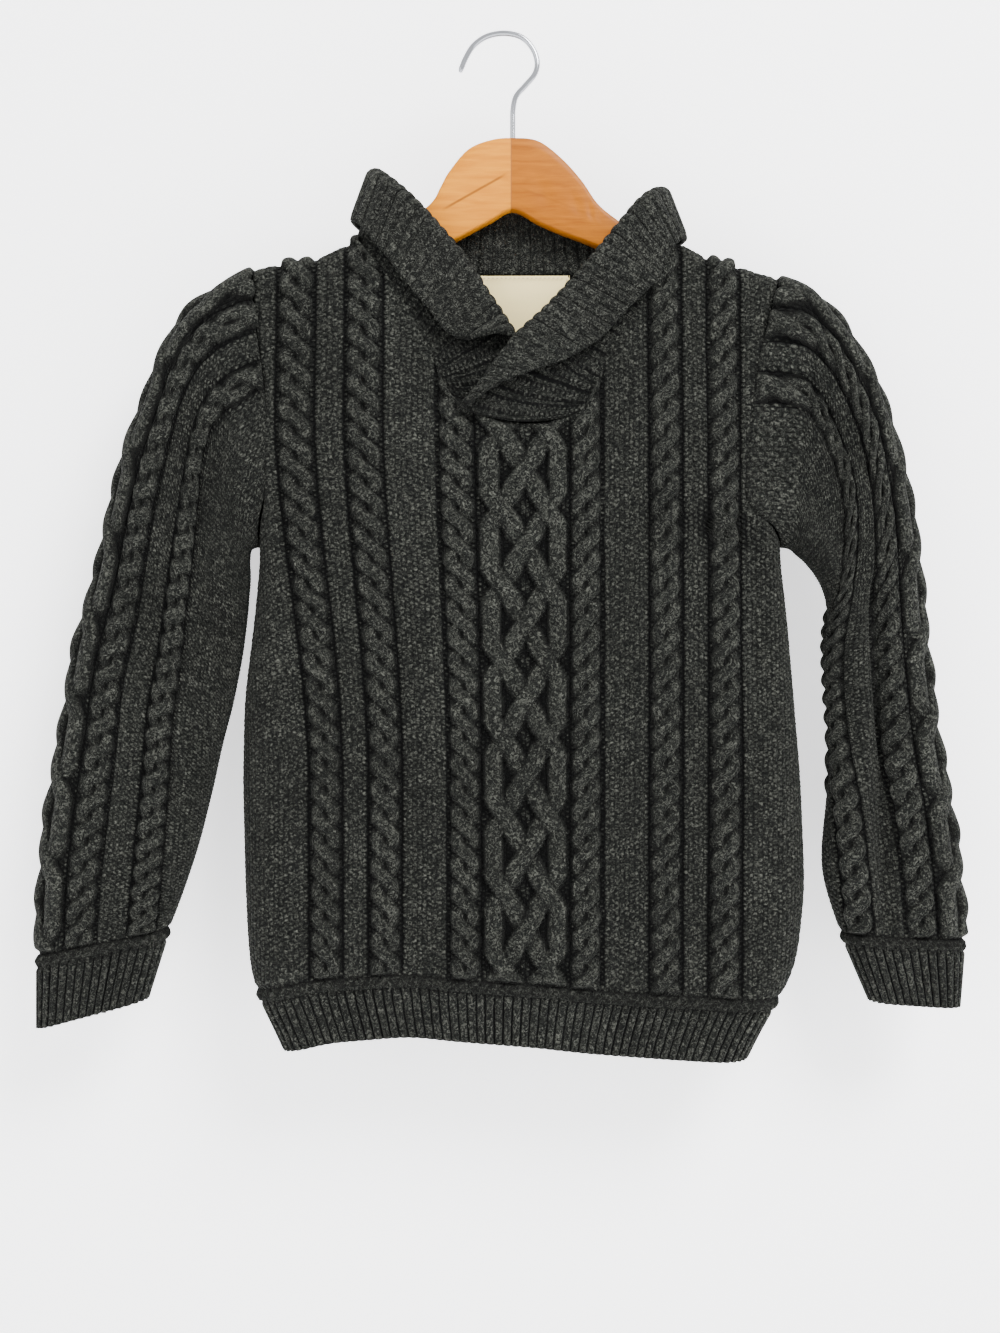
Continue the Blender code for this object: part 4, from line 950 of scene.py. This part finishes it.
def layCollar():
    parts = neckPath()
    path = np.concatenate([parts["right"], parts["back"], parts["left"]])
    lengths = runLengths(path)
    places = []
    before = 0
    starts = {}
    for part in ("right", "back", "left"):
        starts[part] = before
        before += len(parts[part])
    for row in collarTable:
        points = parts[row[0]]
        own = lengths[starts[row[0]]:starts[row[0]] + len(points)]
        axis = 0 if row[0] == "back" else 2
        order = np.argsort(points[:, axis])
        places.append(float(np.interp(row[1], points[order, axis], own[order])))
    table = np.array([row[2:] for row in collarTable])
    foldLengths = runLengths(table[:, 0:3])
    columns, rows = collar["columns"], collar["rows"]
    runs = np.linspace(0.0, foldLengths[-1], columns + 1)
    index = np.interp(runs, foldLengths, np.arange(len(table)))
    fine = splineRows(table, index)
    seamPlaces = np.interp(index, np.arange(len(table)), places)
    seams = np.stack([np.interp(seamPlaces, lengths, path[:, k]) for k in range(3)], axis=-1)

    rise = fine[:, 0:3] - seams
    along = rise / np.linalg.norm(rise, axis=1, keepdims=True)
    seams = seams + along * collar["seamLift"]
    rise = fine[:, 0:3] - seams
    height = np.linalg.norm(rise, axis=1)
    out = fine[:, 3:6] - along * np.sum(fine[:, 3:6] * along, axis=1, keepdims=True)
    out /= np.linalg.norm(out, axis=1, keepdims=True)
    turn = np.radians(np.clip(fine[:, 6], 1.0, 182.0))
    fall = np.maximum(fine[:, 7], 2.0)
    arc = collar["foldArc"] + (collar["flatArc"] - collar["foldArc"]) * (
        1.0 - ease(fine[:, 6] / collar["flatTurn"]))
    radius = arc / turn
    reach = radius * np.sin(np.minimum(turn, math.pi / 2.0)) + np.where(turn < 0.5, fall, 0.0)
    stand = height - reach - collar["wall"] / 2.0
    width = stand + arc + fall
    run = np.linspace(0.0, 1.0, rows + 1)[None, :] * width[:, None]
    stand, arc, radius, turn = (value[:, None] for value in (stand, arc, radius, turn))
    angle = turn * np.clip((run - stand) / arc, 0.0, 1.0)
    beyond = np.maximum(0.0, run - stand - arc)
    rising = np.minimum(run, stand) + radius * np.sin(angle) + beyond * np.cos(angle)
    leaning = radius * (1.0 - np.cos(angle)) + beyond * np.sin(angle)
    share = run / width[:, None]
    dip = np.zeros(run.shape + (3,))
    dip[..., 2] = -fine[:, 8][:, None] * 4.0 * share * (1.0 - share)
    base = (seams[:, None, :] + along[:, None, :] * rising[..., None]
            + out[:, None, :] * leaning[..., None] + dip)
    normals = (along[:, None, :] * np.sin(angle)[..., None]
               - out[:, None, :] * np.cos(angle)[..., None])
    count = round(foldLengths[-1] / collar["ribPitch"])
    aside = runs[:, None] / foldLengths[-1] * count * collar["ribPitch"] * np.ones_like(run)
    knit = ribKnit(aside, run, collar["ribPitch"], collar["ribRise"])
    knit["column"] = aside / sweater["stitchWide"]
    toEdge = np.minimum(run, width[:, None] - run)
    knit["height"] = knit["height"] * (0.35 + 0.65 * ease(toEdge / 4.0))
    ends = np.minimum(runs, foldLengths[-1] - runs)[:, None]
    knit["height"] = knit["height"] * ease(ends / 4.0)
    findCrevices(knit, collar["crevicePasses"])
    points = base + normals * knit["height"][..., None]
    piece = layGrid("shawlCollar", points, normals, knit, woolMaterial)
    thicken(piece, collar["wall"], 0.0)
    declareCloth(piece, "collar")


layCollar()
print("collar laid")

# Label: a bare woven label with folded ends, sewn inside the back neck
label = {
    "centre": 12.0,
    "width": 54.0,
    "tall": 38.0,
    "top": -142.5,
    "depth": 4.1,
    "wall": 0.7,
    "columns": 60,
    "rows": 42,
    "threadLift": 1.1,
    "stitchEvery": 2.6,
    "stitchLong": 1.7,
    "stitchIn": 1.6,
    "thread": 0.28,
    "cloth": (0.80, 0.66, 0.31, 1.0),
    "threadColour": (0.30, 0.22, 0.15, 1.0),
}


def labelPoint(x, z, depth):
    v = clothDistance(x, z)
    inward = bodyPoint(1, x, v)
    inward[..., 1] -= depth
    return inward


def makeLabelCloth():
    material, tree, shader = newMaterial("wovenLabel")
    place = addNode(tree, "ShaderNodeTexCoord").outputs["Object"]
    warp, weft = [addNode(tree, "ShaderNodeTexWave", {
        "Vector": place, "Scale": scale, "Distortion": 0.6},
        bands_direction=axis).outputs["Fac"] for axis, scale in (("X", 620.0), ("Z", 480.0))]
    weave = calc(tree, "MULTIPLY", warp, weft)
    stain = addNoise(tree, place, 60.0, 4.0).outputs["Fac"]
    darker = tuple(c * 0.78 for c in label["cloth"][:3]) + (1.0,)
    tone = blend(tree, weave, darker, label["cloth"])
    worn = blend(tree, calc(tree, "MULTIPLY", stain, 0.35), tone, darker)
    bump = addNode(tree, "ShaderNodeBump", {"Height": weave, "Distance": 0.0002,
                                            "Strength": 0.6})
    setInputs(tree, shader, {"Base Color": worn, "Normal": bump.outputs[0], "Roughness": 0.8,
                             "Sheen Weight": 0.1})
    return material


def makeThread():
    material, tree, shader = newMaterial("labelThread")
    place = addNode(tree, "ShaderNodeTexCoord").outputs["Object"]
    ply = addNoise(tree, place, 2500.0, 2.0).outputs["Fac"]
    pale = tuple(c * 1.5 for c in label["threadColour"][:3]) + (1.0,)
    setInputs(tree, shader, {"Base Color": blend(tree, ply, label["threadColour"], pale),
                             "Roughness": 0.7})
    return material


def layLabel():
    side, down = unitGrid(label["columns"], label["rows"])
    side = side - 0.5
    x = label["centre"] + label["width"] * side
    z = label["top"] - label["tall"] * down
    curl = 0.5 * np.sin(down * 4.0 + side * 3.0) * ease(down * 3.0)
    folded = 0.35 * ease((np.abs(side) - 0.44) / 0.02)  # ends folded under
    points = labelPoint(x, z, label["depth"] + curl + folded)
    normals = gridNormals(points, np.array([0.0, -1.0, 0.0]))
    knit = {"column": side, "row": down, "purl": side * 0.0}
    piece = layGrid("neckLabel", points, normals, knit, makeLabelCloth())
    thicken(piece, label["wall"], -1.0)
    assign(piece, "label")


def layThread():
    # short machine stitches down both sides and along the top
    inset = label["stitchIn"]
    halfWide = label["width"] / 2.0 - inset
    spots = [(label["centre"] + offset, label["top"] - inset, False)
             for offset in np.arange(-halfWide + 1.0, halfWide - 1.0, label["stitchEvery"])]
    spots += [(label["centre"] + sign * halfWide, label["top"] - drop, True)
              for drop in np.arange(inset + 1.0, label["tall"] - inset, label["stitchEvery"])
              for sign in (-1.0, 1.0)]
    bm = bmesh.new()
    for x, z, upright in spots:
        made = bmesh.ops.create_uvsphere(bm, u_segments=6, v_segments=4, radius=1.0)
        centre = labelPoint(np.array(x), np.array(z), label["depth"] + label["threadLift"])
        lengthways = label["stitchLong"] / 2.0 * mm
        thick = label["thread"] * mm
        size = (thick, thick, lengthways) if upright else (lengthways, thick, thick)
        bmesh.ops.scale(bm, vec=Vector(size), verts=made["verts"])
        bmesh.ops.translate(bm, vec=Vector(centre) * mm, verts=made["verts"])
    piece = makePiece("labelStitches", makeMesh("labelStitches", bm), makeThread())
    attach(piece, "root")


layLabel()
layThread()
print("label sewn in")

# Hanger: two shaped halves joined in the middle. Rows: across, top edge, lower edge
hanger = {
    "thick": 11.0,
    "edge": 3.4,
    "square": 1.6,           # how soon a face runs straight past its corner
    "joint": 3.6,
    "columns": 220,
    "loop": 48,
    "routWide": 1.1,
    "routDeep": 0.6,
    "routShade": (0.8, 0.25),
    "routBow": 3.0,
    "jointColour": (0.12, 0.05, 0.02, 1.0),
    # colour of the painted shadow along the routed lines
    "routColour": (0.13, 0.035, 0.002, 1.0),
    # one wood for both halves, painted lighter on the left half and darker on the right as painted
    # light and shade; each half's pair of tones spans its grain
    "leftColour": (0.46, 0.170, 0.004, 1.0),
    "leftPaintedLightDarkGrain": (0.36, 0.118, 0.002, 1.0),
    "rightColour": (0.26, 0.082, 0.002, 1.0),
    "rightPaintedLightDarkGrain": (0.18, 0.050, 0.001, 1.0),
}
hangerTable = (
    (-140, -147, -162), (-128, -143.5, -166), (-111, -141, -163.5),
    (-88.8, -134.5, -155), (-78, -129.5, -149.5), (-66, -118.5, -142.5),
    (-45, -101.5, -131.5), (-38.5, -91, -128), (-33.6, -82.2, -125.5),
    (-22.2, -68.8, -119.5), (-8.4, -63, -112), (4.8, -61.8, -105.5), (19.8, -63.6, -113),
    (33.6, -73.8, -119), (45.6, -87, -123.5), (55.2, -100.8, -127.5),
    (66, -110, -132), (84, -122.5, -141.5), (101.5, -133, -151.5),
    (117, -140.5, -160), (140, -148, -167), (151, -153.5, -164),
)
routLines = (((-38, -106), (2, -83.5)), ((5, -91), (60, -112)))


def makeWood():
    material, tree, shader = newMaterial("lacqueredBeech")
    place = addNode(tree, "ShaderNodeTexCoord").outputs["Object"]
    where = addNode(tree, "ShaderNodeSeparateXYZ", {0: place})
    minus, times = mathTools(tree, "SUBTRACT", "MULTIPLY")
    half = calc(tree, "GREATER_THAN", where.outputs[0], hanger["joint"] * mm)
    # painted light and shade: the left half takes the lit tones, the right half the shaded ones
    litAndShadedHalves = []
    for sign, side in ((1.0, "left"), (-1.0, "right")):
        lie = addNode(tree, "ShaderNodeMapping", {
            "Vector": place, "Rotation": (0.0, sign * math.radians(30.0), 0.0),
            "Scale": (14.0, 90.0, 150.0)})
        grain = addNoise(tree, lie.outputs[0], 2.2, 5.0, 0.62, 0.5).outputs["Fac"]
        litAndShadedHalves.append(blend(tree, mapRange(tree, grain, 0.34, 0.66), hanger[side + "PaintedLightDarkGrain"],
                           hanger[side + "Colour"]))
    away = calc(tree, "ABSOLUTE", minus(where.outputs[0], hanger["joint"] * mm))
    line = mapRange(tree, away, 0.0001, 0.0006, 0.55, 0.0)
    jointed = blend(tree, line, blend(tree, half, *litAndShadedHalves), hanger["jointColour"])
    for ((x0, z0), (x1, z1)), strength in zip(routLines, hanger["routShade"]):
        # the routed line's painted shadow, fading out towards its ends
        length = math.hypot(x1 - x0, z1 - z0)
        acrossX, acrossZ = (z0 - z1) / length, (x1 - x0) / length
        first = times(where.outputs[0], acrossX)
        second = times(where.outputs[2], acrossZ)
        level = (x0 * acrossX + z0 * acrossZ) * mm
        gap = calc(tree, "ABSOLUTE", minus(calc(tree, "ADD", first, second), level))
        near = mapRange(tree, gap, 0.0003, 0.0011, strength, 0.0)
        middle = calc(tree, "ABSOLUTE", minus(where.outputs[0], (x0 + x1) / 2.0 * mm))
        reach = mapRange(tree, middle, (x1 - x0) * 0.35 * mm, (x1 - x0) * 0.5 * mm, 1.0, 0.0)
        jointed = blend(tree, times(near, reach), jointed, hanger["routColour"])
    setInputs(tree, shader, {"Base Color": jointed, "Roughness": 0.42,
                             "Specular IOR Level": 0.1})
    return material


def layHanger():
    columns, loop = hanger["columns"], hanger["loop"]
    table = np.array(hangerTable)
    index = np.linspace(0.0, len(table) - 1.0, columns + 1)
    rows = splineRows(table, index)
    x = rows[:, 0][:, None]
    centre = ((rows[:, 1] + rows[:, 2]) / 2.0)[:, None]
    tall = ((rows[:, 1] - rows[:, 2]) / 2.0)[:, None]
    deep = hanger["thick"] / 2.0
    edge = np.minimum(hanger["edge"], tall * 0.8)
    turn = np.linspace(0.0, 2.0 * math.pi, loop + 1)[None, :]
    # a rounded box: straight faces, corners of radius "edge"
    reachZ, reachY = tall - edge, deep - np.minimum(edge, deep)
    spread, square = np.abs(np.cos(turn)) + np.abs(np.sin(turn)), hanger["square"]
    z = centre + np.clip(np.sin(turn) * spread * square, -1.0, 1.0) * reachZ + edge * np.sin(turn)
    y = (np.clip(np.cos(turn) * spread * square, -1.0, 1.0) * reachY
         + np.minimum(edge, deep) * np.cos(turn))
    rout = np.zeros_like(z)
    xs = x * np.ones_like(z)
    for (x0, z0), (x1, z1) in routLines:
        share = (xs - x0) / (x1 - x0)
        bow = hanger["routBow"] * np.sin(np.clip(share, 0.0, 1.0) * math.pi)
        line = z0 + (z1 - z0) * share + bow
        inside = ease(share * 8.0) * ease((1.0 - share) * 8.0)
        rout += hanger["routDeep"] * inside * np.exp(-(((z - line) / hanger["routWide"]) ** 2))
    y = np.where(y < -deep * 0.6, y + rout, y)
    points = np.stack([xs, y, z], axis=-1)
    normals = gridNormals(points, np.stack([np.zeros_like(y), y, z - centre], axis=-1))
    knit = {"column": xs, "row": z, "purl": xs * 0.0}
    piece = layGrid("woodenHanger", points, normals, knit, makeWood(), weld=True)
    bm = bmesh.new()
    bm.from_mesh(piece.data)
    bmesh.ops.holes_fill(bm, edges=[edge for edge in bm.edges if edge.is_boundary])
    bmesh.ops.recalc_face_normals(bm, faces=bm.faces)
    bm.to_mesh(piece.data)
    bm.free()
    piece.data.shade_smooth()
    assign(piece, "hanger")


hook = {
    "wire": 1.7,
    "samples": 120,
    "roundRings": 4,         # rings over which the open end rounds off
    "colour": (0.30, 0.31, 0.33, 1.0),
    "points": (
        (-27, -21.6), (-23.6, -13.2), (-18.6, -5.4), (-10.5, 0), (0, 1.7), (9.8, -0.6),
        (16.4, -7.2), (19.3, -15.6), (17.8, -22.8), (12.2, -29.6), (6.6, -36.2), (4.8, -44),
        (4.6, -52), (4.6, -63),
    ),
}


def makeChrome():
    material, tree, shader = newMaterial("chromedWire")
    place = addNode(tree, "ShaderNodeTexCoord").outputs["Object"]
    wear = addNoise(tree, place, 300.0, 3.0).outputs["Fac"]
    setInputs(tree, shader, {
        "Base Color": hook["colour"], "Metallic": 1.0,
        "Roughness": mapRange(tree, wear, 0.0, 1.0, 0.08, 0.26)})
    return material


def layHook():
    samples, rings = hook["samples"], hook["roundRings"]
    index = np.linspace(0.0, len(hook["points"]) - 1.0, samples + 1)
    line = splineRows(hook["points"], index)
    curve = bpy.data.curves.new("wireHook", "CURVE")
    curve.dimensions = "3D"
    curve.bevel_depth = hook["wire"] * mm
    curve.bevel_resolution = 6
    curve.use_fill_caps = True
    spline = curve.splines.new("POLY")
    spline.points.add(samples)
    for point, (x, z) in zip(spline.points, line):
        point.co = (x * mm, 0.0, z * mm, 1.0)
        point.radius = 1.0
    for number in range(rings):
        share = 0.35 + 0.65 * number / rings
        spline.points[number].radius = math.sin(math.pi / 2.0 * share)
    made = bpy.data.objects.new("hookCurve", curve)
    bpy.context.scene.collection.objects.link(made)
    mesh = bpy.data.meshes.new_from_object(made)
    bpy.data.objects.remove(made)
    mesh.materials.clear()
    assign(makePiece("wireHook", mesh, makeChrome()), "hook")


layHanger()
layHook()
print("hanger and hook made")

# Stage: one pale sheet for wall and floor, soft light and the camera
studio = {
    "wallY": 0.062,
    "floorZ": -0.95,
    "cove": 0.25,
    "width": 5.0,
    "depth": 2.6,
    "top": 1.2,
    "coveSteps": 12,
    "paper": (0.90, 0.90, 0.91, 1.0),
    "paperGlow": 1.1,        # the wall is lit past white, as in the photo
    "worldColour": (1.0, 1.0, 1.0, 1.0),
    "worldStrength": 1.75,
    "keyPlace": (0.9, -1.5, 1.1),
    "keySize": 1.1,
    "keyPower": 125.0,
    "fillPlace": (-1.4, -1.6, 0.0),
    "fillSize": 1.6,
    "fillPower": 20.0,
    "aim": (0.0, 0.0, -0.35),
    "cameraPlace": (-0.003, -1.0, -0.3783),
    "lens": 45.0,
}


def makePaper():
    material, tree, shader = newMaterial("palePaper")
    setInputs(tree, shader, {
        "Base Color": studio["paper"], "Roughness": 0.9, "Emission Color": studio["paper"],
        "Emission Strength": studio["paperGlow"]})
    clear = addNode(tree, "ShaderNodeBsdfTransparent")
    side = addNode(tree, "ShaderNodeNewGeometry")
    mix = addNode(tree, "ShaderNodeMixShader", {0: side.outputs["Backfacing"],
                                                1: shader.outputs[0], 2: clear.outputs[0]})
    setInputs(tree, tree.nodes["Material Output"], {"Surface": mix.outputs[0]})
    return material


def laySweep():
    wallY, floorZ, cove = studio["wallY"], studio["floorZ"], studio["cove"]
    bm = bmesh.new()
    profile = [Vector((0.0, wallY, studio["top"]))]
    for number in range(studio["coveSteps"] + 1):
        turn = math.pi / 2.0 * number / studio["coveSteps"]
        profile.append(Vector((0.0, wallY - cove + cove * math.cos(turn),
                               floorZ + cove - cove * math.sin(turn))))
    profile.append(Vector((0.0, wallY - studio["depth"], floorZ)))
    line = [bm.verts.new(point - Vector((studio["width"] / 2.0, 0.0, 0.0))) for point in profile]
    edges = [bm.edges.new(pair) for pair in zip(line, line[1:])]
    grown = bmesh.ops.extrude_edge_only(bm, edges=edges)
    moved = [item for item in grown["geom"] if isinstance(item, bmesh.types.BMVert)]
    bmesh.ops.translate(bm, vec=Vector((studio["width"], 0.0, 0.0)), verts=moved)
    mesh = makeMesh("sweep", bm)
    mesh.update()
    facing = sum((face.normal.z - face.normal.y) * face.area for face in mesh.polygons)
    if facing < 0.0:  # the paper faces the front and up
        mesh.flip_normals()
    makePiece("sweep", mesh, makePaper())


def addLight(name, place, size, power):
    lamp = bpy.data.lights.new(name, "AREA")
    lamp.shape = "DISK"
    lamp.size = size
    lamp.energy = power
    made = bpy.data.objects.new(name, lamp)
    made.location = place
    aim = Vector(studio["aim"]) - Vector(place)
    made.rotation_euler = aim.to_track_quat("-Z", "Y").to_euler()
    bpy.context.scene.collection.objects.link(made)


def lightStudio():
    world = bpy.data.worlds.new("studioAir")
    bpy.context.scene.world = world
    world.use_nodes = True
    sky = world.node_tree.nodes["Background"]
    sky.inputs[0].default_value = studio["worldColour"]
    sky.inputs[1].default_value = studio["worldStrength"]
    for lamp in ("key", "fill"):
        addLight(lamp + "Light", *(studio[lamp + part] for part in ("Place", "Size", "Power")))


def setCamera():
    camera = bpy.data.cameras.new("photoCamera")
    camera.sensor_fit = "VERTICAL"
    camera.sensor_height = 36.0
    camera.lens = studio["lens"]
    made = bpy.data.objects.new("photoCamera", camera)
    made.location = studio["cameraPlace"]
    made.rotation_euler = (math.pi / 2.0, 0.0, 0.0)
    bpy.context.scene.collection.objects.link(made)
    bpy.context.scene.camera = made


laySweep()
lightStudio()
setCamera()
print("stage set")
